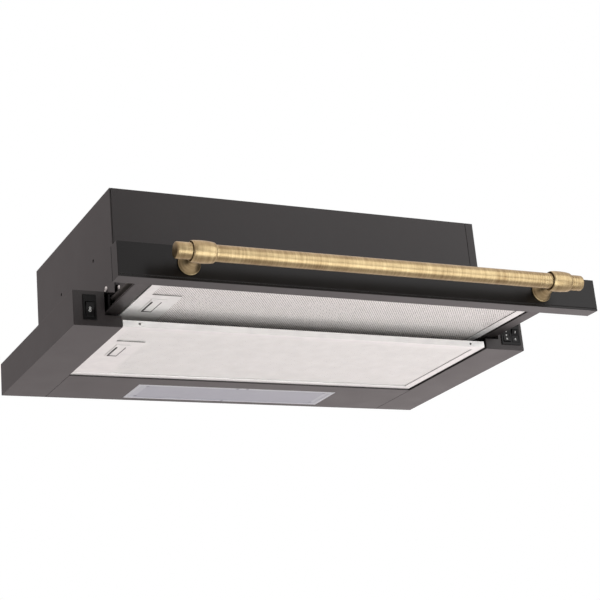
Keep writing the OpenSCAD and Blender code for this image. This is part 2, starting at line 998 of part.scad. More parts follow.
module filter_frame() {
    color(filter_silver)
    difference() {
        union() {
            difference() {
                cube([filter_w, filter_d, filter_h]);
                block([filter_border, filter_border, -cut],
                      [filter_w - filter_border, filter_d - filter_border, filter_h]);
                block([filter_sheet, filter_sheet, filter_sheet],
                      [filter_w - filter_sheet, filter_d - filter_sheet, filter_h - filter_sheet]);
                block([filter_back_lip, filter_back_lip, filter_h - filter_sheet - cut],
                      [filter_w - filter_back_lip, filter_d - filter_back_lip, filter_h + cut]);
            }
            latch_seat();
            for (v = tab_places)
                block([filter_w - filter_sheet, v - tab_w / 2, bolt_rise],
                      [filter_w + tab_out, v + tab_w / 2, bolt_rise + bolt_t]);
            translate([filter_sheet, filter_d - filter_border + bead_r, filter_sheet - bead_r])
                rotate([0, 90, 0])
                    cylinder(r = bead_r, h = filter_w - 2 * filter_sheet, $fn = 24);
        }
        block([-cut, latch_v - bolt_w / 2 - bolt_play, bolt_rise - bolt_play],
              [filter_sheet + cut, latch_v + bolt_w / 2 + bolt_play, bolt_rise + bolt_t + bolt_play]);
        for (u = [wall_hole_inset, filter_w - wall_hole_inset])
            bar_y(wall_hole_d, -cut, filter_sheet + cut, u, filter_h / 2);
    }
}

// Plate with the window for the latch, its guide rails and the spring's stop
module latch_seat() {
    v0 = latch_v - latch_plate_front;
    v1 = filter_d - filter_border + cut;
    rail_top = latch_top + latch_gap;
    difference() {
        block([filter_border - cut, v0, 0], [filter_border + latch_plate_w, v1, filter_sheet]);
        block([window_u, window_v0, -cut], [window_end, window_v1, filter_sheet + cut]);
    }
    for (side = [-1, 1]) {
        rail = latch_v + side * (latch_l / 2 + latch_gap + guide_t / 2);
        block([filter_border, rail - guide_t / 2, 0], [spring_stop, rail + guide_t / 2, rail_top + filter_sheet]);
        lap = rail - side * guide_lap / 2;
        block([filter_border, lap - guide_t / 2 - guide_lap / 2, rail_top],
              [spring_stop, lap + guide_t / 2 + guide_lap / 2, rail_top + filter_sheet]);
    }
    block([spring_stop, latch_v - stop_l / 2, 0],
          [spring_stop + stop_w, latch_v + stop_l / 2, filter_sheet + stop_h]);
}

// The slide with its bolt, and below the plate a finger pad with a U-shaped cut
module latch_slider() {
    slit_v0 = latch_v - slot_front;
    slit_v1 = slit_v0 + slit_l;
    pad_low = -pad_gap - pad_t;
    color(filter_silver)
    difference() {
        union() {
            block([slider_start, latch_v - latch_l / 2, latch_low],
                  [slider_end, latch_v + latch_l / 2, latch_top]);
            block([-bolt_reach - filter_left_gap, latch_v - bolt_w / 2, bolt_rise],
                  [slot_u, latch_v + bolt_w / 2, bolt_rise + bolt_t]);
            block([stem_u, latch_v - stem_l / 2, pad_low], [stem_u + stem_w, latch_v + stem_l / 2, latch_top]);
            block([pad_u, latch_v - pad_l / 2, pad_low], [pad_u + pad_w, latch_v + pad_l / 2, -pad_gap]);
            block([slider_end - stop_w, latch_v - stop_l / 2, latch_low],
                  [slider_end, latch_v + stop_l / 2, filter_sheet + stop_h]);
        }
        block([slot_u, slit_v0, pad_low - cut], [slot_u + slot_w, slit_v0 + slot_l, latch_top + cut]);
        block([slot_u, slit_v0, pad_low - cut], [slot_u + slit_w, slit_v1, 0]);
        block([slot_u, slit_v1 - slit_w, pad_low - cut], [slit_u + slit_w, slit_v1, 0]);
        block([slit_u, slit_v0, pad_low - cut], [slit_u + slit_w, slit_v1, 0]);
    }
}

// Rings of the latch's coil spring, one point list for every step along the coil
spring_l = spring_stop - slider_end - 2 * spring_margin;
spring_mid = filter_sheet + spring_d / 2 + latch_gap;
spring_rings = spring_turns * spring_steps;
function coil_ring(i) =
    let(turn = 360 * i / spring_steps, centre_r = (spring_d - spring_wire) / 2,
        run = (spring_l - spring_wire) * i / spring_rings + spring_wire / 2)
    [for (k = [0 : spring_sides - 1])
        let(a = 360 * k / spring_sides, r = centre_r + spring_wire / 2 * cos(a))
        [slider_end + spring_margin + run + spring_wire / 2 * sin(a), latch_v + r * cos(turn),
         spring_mid + r * sin(turn)]];

// Least gap from one turn of the coil to the next, measured on its points and printed
coil_gap = min([for (i = [0 : spring_rings - spring_steps / 2], p = coil_ring(i))
    min([for (j = [i + spring_steps / 2 : min(i + 3 * spring_steps / 2, spring_rings)], q = coil_ring(j))
        norm(p - q)])]);
echo(coil_gap = coil_gap);

module latch_spring() {
    rings = [for (i = [0 : spring_rings]) each coil_ring(i)];
    last = spring_rings * spring_sides;
    walls = [for (i = [0 : spring_rings - 1], k = [0 : spring_sides - 1])
        let(a = i * spring_sides + k, b = i * spring_sides + (k + 1) % spring_sides)
        each [[a, b, b + spring_sides], [a, b + spring_sides, a + spring_sides]]];
    start = [for (k = [spring_sides - 1 : -1 : 0]) k];
    end = [for (k = [0 : spring_sides - 1]) last + k];
    color(steel_zinc)
    polyhedron(points = rings, faces = concat(walls, [start, end]));
}

// Expanded metal: rows of diamonds, every second row moved on by half an opening
mesh_u0 = filter_border + mesh_edge;
mesh_v0 = filter_border + mesh_edge;
mesh_pitch_u = (filter_w - 2 * mesh_u0) / mesh_cols;
mesh_pitch_v = (filter_d - 2 * mesh_v0) / mesh_rows;
gap_half_u = mesh_pitch_u / 2 - strand_w / 2;
gap_half_v = gap_half_u * mesh_pitch_v / mesh_pitch_u;
gap_centres = [
    for (row = [0 : 2 * mesh_rows - 2], col = [0 : mesh_cols - 1 - row % 2])
        let(u = mesh_u0 + (col + 0.5 + (row % 2) / 2) * mesh_pitch_u, v = mesh_v0 + (row + 1) / 2 * mesh_pitch_v)
        if (u - gap_half_u > cut_u + strand_w || v + gap_half_v < cut_v0 - strand_w)
            [u, v]
];

module filter_mesh() {
    low = filter_sheet + mesh_play;
    outline = [
        [low, low], [filter_w - low, low], [filter_w - low, filter_d - low],
        [cut_u, filter_d - low], [cut_u, cut_v0], [low, cut_v0]
    ];
    diamonds = [for (c = gap_centres)
        each [[c.x - gap_half_u, c.y], [c.x, c.y + gap_half_v], [c.x + gap_half_u, c.y], [c.x, c.y - gap_half_v]]];
    first = len(outline);
    paths = concat([[for (i = [0 : first - 1]) i]],
                   [for (g = [0 : len(gap_centres) - 1]) [for (k = [0 : 3]) first + 4 * g + k]]);
    color(filter_silver)
    translate([0, 0, mesh_low])
        linear_extrude(mesh_t)
            polygon(points = concat(outline, diamonds), paths = paths);
}

module at_fixed_filter() {
    translate([filter_left, front, fixed_filter_z])
        children();
}

module at_drawer_filter() {
    translate([filter_left, drawer_filter_front, drawer_z])
        children();
}

/* The handle */

module handle_bar() {
    reach = handle_span / 2 + barrel_l / 2;
    ring_start = handle_span / 2 - barrel_l / 2;
    color(antique_brass)
    difference() {
        bar_x(bar_d, -reach, reach, handle_y, handle_z);
        for (i = [1 : bar_ring_count])
            translate([ring_start - i * bar_ring_gap, handle_y, handle_z])
                rotate([0, 90, 0])
                    difference() {
                        cylinder(d = bar_d + cut, h = bar_ring_w);
                        translate([0, 0, -cut])
                            cylinder(d = bar_d - 2 * bar_ring_depth, h = bar_ring_w + 2 * cut);
                    }
    }
}

// Radius of a barrel along its length: an open mouth, a crown and a closed end that hugs the bar
mouth_r = bar_d / 2 + mouth_w;
function barrel_r(share) =
    let(rising = share < crown_share, low = rising ? mouth_r + mouth_rim : bar_d / 2 + barrel_end_lip,
        off = rising ? 1 - share / crown_share : (share - crown_share) / (1 - crown_share))
    barrel_d / 2 - (barrel_d / 2 - low) * pow(off, crown_power);

// Foot, waisted neck and barrel of one post, with the barrel's mouth to the left
module handle_post() {
    foot_r = barrel_d / 2;
    neck_r = post_neck_d / 2;
    neck_l = handle_reach - post_foot_t - post_ledge;
    barrel = [for (i = [0 : barrel_steps])
        let(share = i / barrel_steps)
        [barrel_r(share), barrel_l * share]];
    flare = [for (i = [0 : flare_steps])
        let(share = i / flare_steps)
        [neck_r + (foot_r - post_ledge - neck_r) * pow(1 - share, flare_power),
         post_foot_t + post_ledge + neck_l * share]];
    difference() {
        union() {
            translate([0, fascia_front, handle_z])
                rotate([90, 0, 0])
                    rotate_extrude()
                        polygon(concat([[0, 0], [foot_r, 0], [foot_r, post_foot_t],
                                        [foot_r - post_ledge, post_foot_t]], flare, [[0, handle_reach]]));
            translate([-barrel_l / 2, handle_y, handle_z])
                rotate([0, 90, 0])
                    rotate_extrude()
                        polygon(concat([[0, 0]], barrel, [[0, barrel_l]]));
        }
        bar_x(bar_d + 2 * bar_play, -barrel_l, barrel_l, handle_y, handle_z);
        bar_x(2 * mouth_r, -barrel_l / 2 - cut, mouth_t - barrel_l / 2, handle_y, handle_z);
        bar_y(handle_screw_d, fascia_front - handle_thread_l, fascia_front + cut, 0, handle_z);
    }
}

module handle_posts() {
    color(antique_brass)
    for (side = [-1, 1])
        translate([side * handle_span / 2, 0, 0])
            handle_post();
}

module handle_caps() {
    r = bar_d / 2;
    x = handle_span / 2 + barrel_l / 2;
    dome = [for (a = [0 : cap_dome_angle : 90])
        [r - cap_dome_r + cap_dome_r * cos(a), cap_l - cap_dome_r + cap_dome_r * sin(a)]];
    grooves = [for (g = cap_groove_places)
        each [[r, g], [r - cap_groove_depth, g], [r - cap_groove_depth, g + cap_groove_w], [r, g + cap_groove_w]]];
    color(antique_brass)
    both_sides()
        translate([x, handle_y, handle_z])
            rotate([0, 90, 0])
                rotate_extrude()
                    polygon(concat([[0, 0], [r, 0]], grooves, dome, [[0, cap_l]]));
}

module handle_screws() {
    color(steel_zinc)
    both_sides()
        translate([handle_span / 2, fascia_front + 2 * sheet, handle_z])
            rotate([-90, 0, 0])
                screw(handle_screw_d - 2 * screw_play, handle_screw_l, handle_screw_head_d, handle_screw_head_h);
}

/* The switches */

rocker_z = bezel_rise + rocker_bottom + rocker_h / 2;
rocker_y = front - bezel_proud + rocker_depth / 2;
power_x = fan_x + rocker_w / 2 + rocker_gap / 2;
speed_x = fan_x - rocker_w / 2 - rocker_gap / 2;

// Room that one rocker swings in
module rocker_room(x) {
    room = rocker_depth + rocker_proud;
    block([x - rocker_w / 2 - rocker_play, front - bezel_proud - cut, rocker_z - rocker_h / 2 - rocker_play],
          [x + rocker_w / 2 + rocker_play, front - bezel_proud + room, rocker_z + rocker_h / 2 + rocker_play]);
    bar_x(rocker_pin_d + 2 * rocker_pin_play, x - rocker_w / 2 - rocker_pin_l - seam,
          x + rocker_w / 2 + rocker_pin_l + seam, rocker_y, rocker_z);
}

module switch_body(x, w, rockers) {
    color(plastic_black)
    union() {
        difference() {
            union() {
                block([x - w / 2, front - bezel_proud, bezel_rise], [x + w / 2, front, bezel_top]);
                block([x - w / 2 + body_inset + seam, front, bezel_rise + body_inset + seam],
                      [x + w / 2 - body_inset - seam, front + body_d, bezel_top - body_inset - seam]);
            }
            for (rocker_x = rockers)
                rocker_room(rocker_x);
            block([x - w / 2 + bezel_rim, front - bezel_proud - cut, bezel_top - bezel_rim - rocker_bottom],
                  [x + w / 2 - bezel_rim, front - bezel_proud + bezel_rim / 2, bezel_top - bezel_rim]);
        }
        for (rocker_x = rockers)
            for (z = [rocker_z - terminal_gap, rocker_z, rocker_z + terminal_gap])
                block([rocker_x - terminal_w / 2, front + body_d - terminal_t, z - terminal_t / 2],
                      [rocker_x + terminal_w / 2, front + body_d + terminal_l, z + terminal_t / 2]);
    }
}

// A rocker: two faces that meet in a shallow valley, turned about its pin
module rocker(x, tilt) {
    h = rocker_h / 2 - rocker_play;
    back = rocker_depth / 2 - rocker_play;
    color(plastic_black)
    translate([x, rocker_y, rocker_z])
        rotate([tilt, 0, 0])
            union() {
                along_x(-rocker_w / 2, rocker_w / 2)
                    polygon([[-rocker_depth / 2, 0], [-rocker_depth / 2 - rocker_proud, h],
                             [back - rocker_proud, h * cos(rocker_angle)], [back, 0],
                             [back - rocker_proud, -h * cos(rocker_angle)],
                             [-rocker_depth / 2 - rocker_proud, -h]]);
                rotate([0, 90, 0])
                    cylinder(d = rocker_pin_d, h = rocker_w + 2 * rocker_pin_l, center = true);
            }
}

/* The switch that starts the fan when the drawer is pulled out */

micro_front = micro_tab_back + drawer_travel + plunger_gap + plunger_out;
micro_low = sheet;
plunger_z = drawer_z - plunger_drop;

module drawer_switch() {
    color(plastic_black)
    difference() {
        block([micro_x - micro_w / 2, micro_front, micro_low],
              [micro_x + micro_w / 2, micro_front + micro_l, micro_low + micro_h]);
        block([micro_x - plunger_w / 2 - plunger_play, micro_front - cut, plunger_z - plunger_h / 2 - plunger_play],
              [micro_x + plunger_w / 2 + plunger_play, micro_front + plunger_in + plunger_travel + plunger_gap,
               plunger_z + plunger_h / 2 + plunger_play]);
        for (y = [micro_front + micro_hole_front, micro_front + micro_hole_rear])
            bar_x(screw_d, micro_x - micro_w, micro_x + micro_w, y, micro_low + micro_hole_rise);
    }
}

module switch_plunger() {
    color("#a33b33")
    block([micro_x - plunger_w / 2, micro_front - plunger_out, plunger_z - plunger_h / 2],
          [micro_x + plunger_w / 2, micro_front + plunger_in, plunger_z + plunger_h / 2]);
}

/* The blower: a double inlet fan that blows up into the collar */

// Spiral of the scroll, from the tongue over the top and round to the front, as [y, z]
function spiral_r(a) = scroll_r + scroll_growth * a / scroll_angle;
function spiral(inset) = [for (i = [0 : scroll_steps])
    let(a = scroll_angle * i / scroll_steps, r = spiral_r(a) - inset)
    [blower_y + r * sin(a), blower_z + r * cos(a)]];
neck_front = blower_y - scroll_r - scroll_growth;
neck_rear = neck_front + outlet_d;
flange_z = casing_top - sheet - outlet_flange_t;
spiral_start = spiral_r(0);

module scroll_outline(inset) {
    polygon(concat(spiral(inset), [[neck_front + inset, flange_z], [neck_rear - inset, flange_z],
                                   [neck_rear - inset, blower_z + spiral_start - inset]]));
}

module scroll_half_shell() {
    plate = scroll_half - scroll_wall;
    difference() {
        union() {
            along_x(0, scroll_half)
                scroll_outline(0);
            block([0, duct_y - outlet_flange / 2, flange_z],
                  [outlet_flange / 2, duct_y + outlet_flange / 2, flange_z + outlet_flange_t]);
            translate([scroll_half, blower_y, blower_z])
                rotate([0, 90, 0])
                    cylinder(r = inlet_r + bell_r, h = bell_t);
        }
        along_x(-cut, plate)
            scroll_outline(scroll_wall);
        block([-cut, neck_front + scroll_wall, flange_z - cut],
              [plate, neck_rear - scroll_wall, flange_z + outlet_flange_t + cut]);
        bar_x(2 * inlet_r, plate - cut, scroll_half + bell_t + cut, blower_y, blower_z);
        for (i = [0 : leg_count - 1])
            leg_place(i)
                bar_x(screw_d + 2 * screw_play, plate - cut, scroll_half + bell_t + cut, 0, 0);
        collar_screw_holes(screw_d + 2 * screw_play);
    }
}

module leg_place(i) {
    a = 360 * i / leg_count + leg_angle;
    translate([0, blower_y + leg_r * cos(a), blower_z + leg_r * sin(a)])
        children();
}

module scroll_right() {
    color(plastic_grey)
    scroll_half_shell();
}

module scroll_left() {
    color(plastic_grey)
    mirror([1, 0, 0])
        scroll_half_shell();
}

// One blade, as points from the inner edge to the rim and back
blade_r1 = impeller_d / 2 - 0.5 * blade_t;
blade_r0 = blade_r1 * blade_in_share;
function blade_edge(side) = [for (i = [0 : blade_points])
    let(share = i / blade_points, r = blade_r0 + (blade_r1 - blade_r0) * share,
        bend = blade_angle * share * share, off = side * blade_t / 2)
    [r * cos(bend) - off * sin(bend), r * sin(bend) + off * cos(bend)]];
function backwards(list) = [for (i = [len(list) - 1 : -1 : 0]) list[i]];

module impeller() {
    r = impeller_d / 2;
    color(plastic_white)
    translate([-impeller_l / 2, blower_y, blower_z])
        rotate([90, 0, 90])
            difference() {
                union() {
                    for (i = [0 : blade_count - 1])
                        rotate(360 * i / blade_count)
                            linear_extrude(impeller_l)
                                polygon(concat(blade_edge(-1), backwards(blade_edge(1))));
                    for (z = [0, impeller_l - ring_t])
                        translate([0, 0, z])
                            difference() {
                                cylinder(r = r, h = ring_t);
                                translate([0, 0, -cut])
                                    cylinder(r = r - ring_w, h = ring_t + 2 * cut);
                            }
                    translate([0, 0, impeller_l / 2 - disc_t / 2])
                        cylinder(r = r, h = disc_t);
                    translate([0, 0, impeller_l / 2 - hub_l / 2])
                        cylinder(d = hub_d, h = hub_l);
                }
                translate([0, 0, -cut])
                    cylinder(d = shaft_d, h = impeller_l + 2 * cut);
            }
}

module shaft() {
    color(steel_zinc)
    bar_x(shaft_d, -shaft_left, motor_x + motor_l - motor_cap_l, blower_y, blower_z);
}

module motor() {
    color(steel_zinc)
    translate([motor_x, blower_y, blower_z])
        rotate([90, 0, 90])
            difference() {
                union() {
                    cylinder(d = motor_d, h = motor_l);
                    translate([0, 0, -motor_cap_l])
                        cylinder(d = motor_cap_d, h = motor_cap_l + cut);
                    translate([0, 0, motor_l])
                        cylinder(d = motor_cap_d, h = motor_cap_l);
                }
                translate([0, 0, -motor_cap_l - cut])
                    cylinder(d = shaft_d + 2 * shaft_play, h = motor_l + motor_cap_l);
                for (i = [0 : fin_count - 1])
                    rotate(360 * i / fin_count)
                        translate([motor_d / 2 - fin_depth, -fin_w / 2, motor_l / 2])
                            cube([fin_depth + cut, fin_w, motor_l]);
            }
}

module motor_bracket() {
    inner = motor_d + 2 * screw_play;
    leg_end = scroll_half + bell_t + grommet_t;
    color(steel_zinc)
    union() {
        translate([bracket_ring_x, blower_y, blower_z])
            rotate([90, 0, 90])
                difference() {
                    union() {
                        cylinder(d = inner + 2 * bracket_ring_t, h = bracket_ring_l);
                        for (i = [0 : leg_count - 1])
                            rotate(360 * i / leg_count + leg_angle)
                                translate([inner / 2, -leg_w / 2, 0])
                                    cube([leg_r - inner / 2 + leg_d / 2, leg_w, bracket_ring_l]);
                    }
                    translate([0, 0, -cut])
                        cylinder(d = inner, h = bracket_ring_l + 2 * cut);
                }
        for (i = [0 : leg_count - 1])
            leg_place(i) {
                bar_x(leg_d, leg_end, bracket_ring_x + cut, 0, 0);
                bar_x(screw_d, scroll_half - scroll_wall, leg_end + cut, 0, 0);
            }
    }
}

module grommets() {
    color(rubber_black)
    for (i = [0 : leg_count - 1])
        leg_place(i)
            difference() {
                bar_x(grommet_d, scroll_half + bell_t, scroll_half + bell_t + grommet_t, 0, 0);
                bar_x(screw_d + 2 * screw_play, scroll_half, scroll_half + bell_t + grommet_t + cut, 0, 0);
            }
}

/* Electrical parts on the back wall */

cap_can_y = -sheet - clamp_t - cap_can_d / 2;

module capacitor() {
    color(plastic_white)
    union() {
        bar_x(cap_can_d, cap_can_x, cap_can_x + cap_can_l, cap_can_y, cap_can_z);
        for (z = [-terminal_gap / 2, terminal_gap / 2])
            block([cap_can_x - terminal_l, cap_can_y - terminal_w / 2, cap_can_z + z - terminal_t / 2],
                  [cap_can_x + terminal_t, cap_can_y + terminal_w / 2, cap_can_z + z + terminal_t / 2]);
    }
}

module capacitor_clamp() {
    x = cap_can_x + cap_can_l / 2 - clamp_w / 2;
    outer = cap_can_d + 2 * clamp_t;
    color(steel_zinc)
    difference() {
        union() {
            bar_x(outer, x, x + clamp_w, cap_can_y, cap_can_z);
            block([x, -sheet - clamp_t, cap_can_z - outer / 2 - clamp_w], [x + clamp_w, -sheet, cap_can_z]);
        }
        bar_x(cap_can_d, x - cut, x + clamp_w + cut, cap_can_y, cap_can_z);
    }
}

module terminal_box() {
    color(plastic_black)
    difference() {
        block([box_x - box_w / 2, -sheet - box_t, box_z - box_h / 2],
              [box_x + box_w / 2, -sheet, box_z + box_h / 2]);
        block([box_x - box_w / 2 + box_wall, -sheet - box_t - cut, box_z - box_h / 2 + box_wall],
              [box_x + box_w / 2 - box_wall, -sheet - box_wall, box_z + box_h / 2 - box_wall]);
    }
}

module terminal_lid() {
    y = -sheet - box_t;
    color(plastic_black)
    union() {
        block([box_x - box_w / 2, y - box_lid_t, box_z - box_h / 2], [box_x + box_w / 2, y, box_z + box_h / 2]);
        block([box_x - box_w / 2 + box_wall + seam, y, box_z - box_h / 2 + box_wall + seam],
              [box_x + box_w / 2 - box_wall - seam, y + box_lid_t, box_z + box_h / 2 - box_wall - seam]);
    }
}

module cable_gland() {
    low = casing_top - sheet - gland_h;
    color(plastic_black)
    difference() {
        union() {
            bar_z(gland_d, low, casing_top + gland_flange_t, gland_x, gland_y);
            bar_z(gland_flange_d, casing_top, casing_top + gland_flange_t, gland_x, gland_y);
            bar_z(gland_flange_d, low, casing_top - sheet, gland_x, gland_y);
        }
        bar_z(gland_bore_d, low - cut, casing_top + gland_flange_t + cut, gland_x, gland_y);
    }
}

/* The duct collar with its two non-return flaps */

collar_r = collar_d / 2;
collar_in = collar_r - collar_wall;
ledge_z = casing_top + collar_flange_t;
flap_z = ledge_z + ledge_t + flap_gap + flap_t / 2;

module collar_screw_holes(d) {
    for (i = [0 : collar_screw_count - 1]) {
        a = 360 * (i + 0.5) / collar_screw_count;
        bar_z(d, flange_z - cut, casing_top + collar_flange_t + cut, collar_screw_pcd / 2 * cos(a),
              duct_y + collar_screw_pcd / 2 * sin(a));
    }
}

module duct_collar() {
    color(plastic_black)
    difference() {
        union() {
            bar_z(collar_flange_d, casing_top, casing_top + collar_flange_t, 0, duct_y);
            bar_z(collar_d, casing_top, casing_top + collar_flange_t + collar_l, 0, duct_y);
        }
        difference() {
            bar_z(2 * collar_in, casing_top - cut, casing_top + collar_flange_t + collar_l + cut, 0, duct_y);
            difference() {
                bar_z(2 * collar_in + cut, ledge_z, ledge_z + ledge_t, 0, duct_y);
                bar_z(2 * (collar_in - ledge_w), ledge_z - cut, ledge_z + ledge_t + cut, 0, duct_y);
            }
            both_sides()
                block([collar_in - ear_w, duct_y - ear_t, ledge_z],
                      [collar_in + cut, duct_y + ear_t, flap_z + flap_pin_d]);
        }
        for (y = [-flap_pin_off, flap_pin_off])
            bar_x(flap_pin_d + 2 * flap_pin_play, -collar_in - ear_inset, collar_in + ear_inset,
                  duct_y + y, flap_z);
        collar_screw_holes(screw_d + 2 * screw_play);
    }
}

module collar_screws() {
    color(steel_zinc)
    for (i = [0 : collar_screw_count - 1]) {
        a = 360 * (i + 0.5) / collar_screw_count;
        translate([collar_screw_pcd / 2 * cos(a), duct_y + collar_screw_pcd / 2 * sin(a),
                   casing_top + collar_flange_t])
            screw(screw_d, collar_flange_t + sheet + outlet_flange_t, screw_head_d, screw_head_h);
    }
}

// Half disc with its pin, for the side that dir points to
module flap(dir) {
    pin_y = duct_y + dir * flap_pin_off;
    edge = collar_in - ear_w - seam;
    color(plastic_grey)
    union() {
        intersection() {
            bar_z(2 * (collar_in - flap_play), flap_z - flap_t / 2, flap_z + flap_t / 2, 0, duct_y);
            translate([-edge, min(pin_y, pin_y + dir * collar_r), flap_z - flap_t])
                cube([2 * edge, collar_r, 2 * flap_t]);
        }
        bar_x(knuckle_d, -edge, edge, pin_y, flap_z);
        bar_x(flap_pin_d, -collar_in, collar_in, pin_y, flap_z);
    }
}

lower_housing();
lamp_panel();
lamp_lens();
lens_clips();
lamp_reflector();
led_board();
led_driver();
casing_shell();
front_panel();
casing_screws();
foot_rivets();
drawer_frame();
drawer_cover();
cover_screws();
fascia();
mirror([1, 0, 0]) runner_outer();  // runner_outer_left
runner_outer();  // runner_outer_right
mirror([1, 0, 0]) runner_inner();  // runner_inner_left
runner_inner();  // runner_inner_right
mirror([1, 0, 0]) ball_cage();  // ball_cage_left
ball_cage();  // ball_cage_right
mirror([1, 0, 0]) ball_rows();  // balls_left
ball_rows();  // balls_right
runner_brackets();
at_fixed_filter() filter_frame();  // fixed_filter_frame
at_fixed_filter() filter_mesh();  // fixed_filter_mesh
at_fixed_filter() latch_slider();  // fixed_latch
at_fixed_filter() latch_spring();  // fixed_latch_spring
at_drawer_filter() filter_frame();  // drawer_filter_frame
at_drawer_filter() filter_mesh();  // drawer_filter_mesh
at_drawer_filter() latch_slider();  // drawer_latch
at_drawer_filter() latch_spring();  // drawer_latch_spring
handle_bar();
handle_posts();
handle_caps();
handle_screws();
switch_body(light_x, bezel_single_w, [light_x]);  // light_switch
switch_body(fan_x, bezel_double_w, [speed_x, power_x]);  // fan_switch
rocker(light_x, rocker_angle);  // light_rocker
rocker(speed_x, 0);  // speed_rocker
rocker(power_x, rocker_angle);  // power_rocker
drawer_switch();
switch_plunger();
scroll_left();
scroll_right();
impeller();
shaft();
motor();
motor_bracket();
grommets();
capacitor();
capacitor_clamp();
terminal_box();
terminal_lid();
cable_gland();
duct_collar();
collar_screws();
flap(-1);  // front_flap
flap(1);  // rear_flap
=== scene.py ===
# %% [markdown]
# # A telescopic range hood with a brass bar handle
#
# This hood is built into a wall cabinet. A drawer with a grease filter slides out over the stove on two ball
# runners, and a second filter stays in the housing behind it. The CAD model gives every piece its place and
# its size. Here each piece gets the finish of the real one: powder-coated steel, rolled aluminium, brushed and
# aged brass, and moulded plastic.
#
# The first cell loads the CAD model as a fixed frame.

import json
import math

import bmesh
import bpy
from mathutils import Matrix, Vector
from mathutils.bvhtree import BVHTree


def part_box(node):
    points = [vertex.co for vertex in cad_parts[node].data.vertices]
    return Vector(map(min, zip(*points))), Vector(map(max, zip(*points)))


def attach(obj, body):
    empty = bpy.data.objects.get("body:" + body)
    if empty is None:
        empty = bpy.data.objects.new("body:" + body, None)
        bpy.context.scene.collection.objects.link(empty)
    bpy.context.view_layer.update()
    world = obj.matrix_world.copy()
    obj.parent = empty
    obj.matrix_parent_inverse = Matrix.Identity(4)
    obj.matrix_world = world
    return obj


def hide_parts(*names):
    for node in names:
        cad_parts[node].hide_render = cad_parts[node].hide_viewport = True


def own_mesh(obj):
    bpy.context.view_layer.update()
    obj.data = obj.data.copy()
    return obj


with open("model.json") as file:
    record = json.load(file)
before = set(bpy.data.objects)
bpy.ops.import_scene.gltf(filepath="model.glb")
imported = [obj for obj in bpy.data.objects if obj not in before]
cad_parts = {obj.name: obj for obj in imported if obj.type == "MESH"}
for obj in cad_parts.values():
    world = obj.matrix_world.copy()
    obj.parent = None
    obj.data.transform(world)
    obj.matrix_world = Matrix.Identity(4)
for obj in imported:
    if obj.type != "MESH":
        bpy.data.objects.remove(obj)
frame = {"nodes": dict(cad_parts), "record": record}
scene = bpy.context.scene
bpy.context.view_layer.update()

# %% [markdown]
# ## The camera
#
# The photograph was taken from the left, from below and from nearly two metres away. The lens and the place
# below were worked out from the hood's own straight edges: the lines that run back to the wall and the lines
# that run across meet at points far outside the picture, and those points fix the direction of the view.

# %% Camera
VIEW_RIGHT = Vector((0.89517, -0.43690, -0.08827))
VIEW_UP = Vector((-0.06277, -0.31962, 0.94546))
VIEW_AHEAD = Vector((0.44129, 0.84081, 0.31355))
CAMERA_PLACE = (-0.8147, -1.8135, -0.5204)
LENS_MM, SENSOR_MM = 91.44, 36

camera_data = bpy.data.cameras.new("camera")
camera_data.lens = LENS_MM
camera_data.sensor_width = SENSOR_MM
camera = bpy.data.objects.new("camera", camera_data)
facing = Matrix((VIEW_RIGHT, VIEW_UP, -VIEW_AHEAD)).transposed().to_4x4()
camera.matrix_world = Matrix.Translation(CAMERA_PLACE) @ facing
scene.collection.objects.link(camera)
scene.camera = camera
scene.view_settings.view_transform = "Standard"
print("camera looks along", tuple(round(v, 3) for v in VIEW_AHEAD))

# %% [markdown]
# ## Small helpers
#
# Colours are written as the hex values a painter would read off a chart, and one function turns them into the
# linear numbers that the renderer works with. Another small function adds a shader node with its settings and
# links. Real sizes are written in millimetres, and a texture's scale is worked out from the width of its marks.
# Each finished mesh rides on the body of the CAD node that it stands for or is fixed to.

# %% Helpers for colours, nodes and objects
MM = 0.001
BODY_OF = {node: body for body, nodes in frame["record"]["behaviour"]["bodies"].items() for node in nodes}
SLOT_OF = {entry["node"]: entry["material_slot"] for entry in frame["record"]["subparts"]}


def linear(code):
    """A hex colour such as #C8AE7C as linear red, green, blue and alpha."""
    parts = [int(code[i : i + 2], 16) / 255 for i in (1, 3, 5)]
    return tuple(c / 12.92 if c <= 0.04045 else ((c + 0.055) / 1.055) ** 2.4 for c in parts) + (1.0,)


def tinted(code, factor, lift=0.0):
    """A hex colour made darker or lighter, as linear red, green, blue and alpha."""
    return tuple(min(1, c * factor + lift) for c in linear(code)[:3]) + (1,)


def pattern(width_mm):
    """The scale of a texture whose marks are so many millimetres wide."""
    return 1 / (width_mm * MM)


def add(tree, kind, inputs=None, **settings):
    """Adds a node. inputs holds values, sockets or nodes by the input's name or number.

    A node that is given as an input stands for its first output.
    """
    node = tree.nodes.new(kind)
    for name, value in settings.items():
        setattr(node, name, value)
    for key, value in (inputs or {}).items():
        if isinstance(value, bpy.types.Node):
            value = value.outputs[0]
        if isinstance(value, bpy.types.NodeSocket):
            tree.links.new(value, node.inputs[key])
        else:
            node.inputs[key].default_value = value
    return node


def new_material(name):
    """A material with no surface yet. Returns the material, its tree and the Object coordinates."""
    material = bpy.data.materials.new(name)
    material.use_nodes = True
    tree = material.node_tree
    tree.nodes.clear()
    return material, tree, add(tree, "ShaderNodeTexCoord").outputs["Object"]


def mesh_from(work, name):
    """Turns a finished bmesh into a mesh."""
    mesh = bpy.data.meshes.new(name)
    work.to_mesh(mesh)
    work.free()
    return mesh


def show(mesh, name, node, material, replaced=()):
    """Makes a mesh a piece with its material, on the body of a CAD node."""
    piece = bpy.data.objects.new(name, mesh)
    scene.collection.objects.link(piece)
    piece.data.materials.clear()
    piece.data.materials.append(material)
    body, slot = BODY_OF[node], SLOT_OF[node]
    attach(piece, body)
    if replaced:
        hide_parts(*replaced)
    return piece


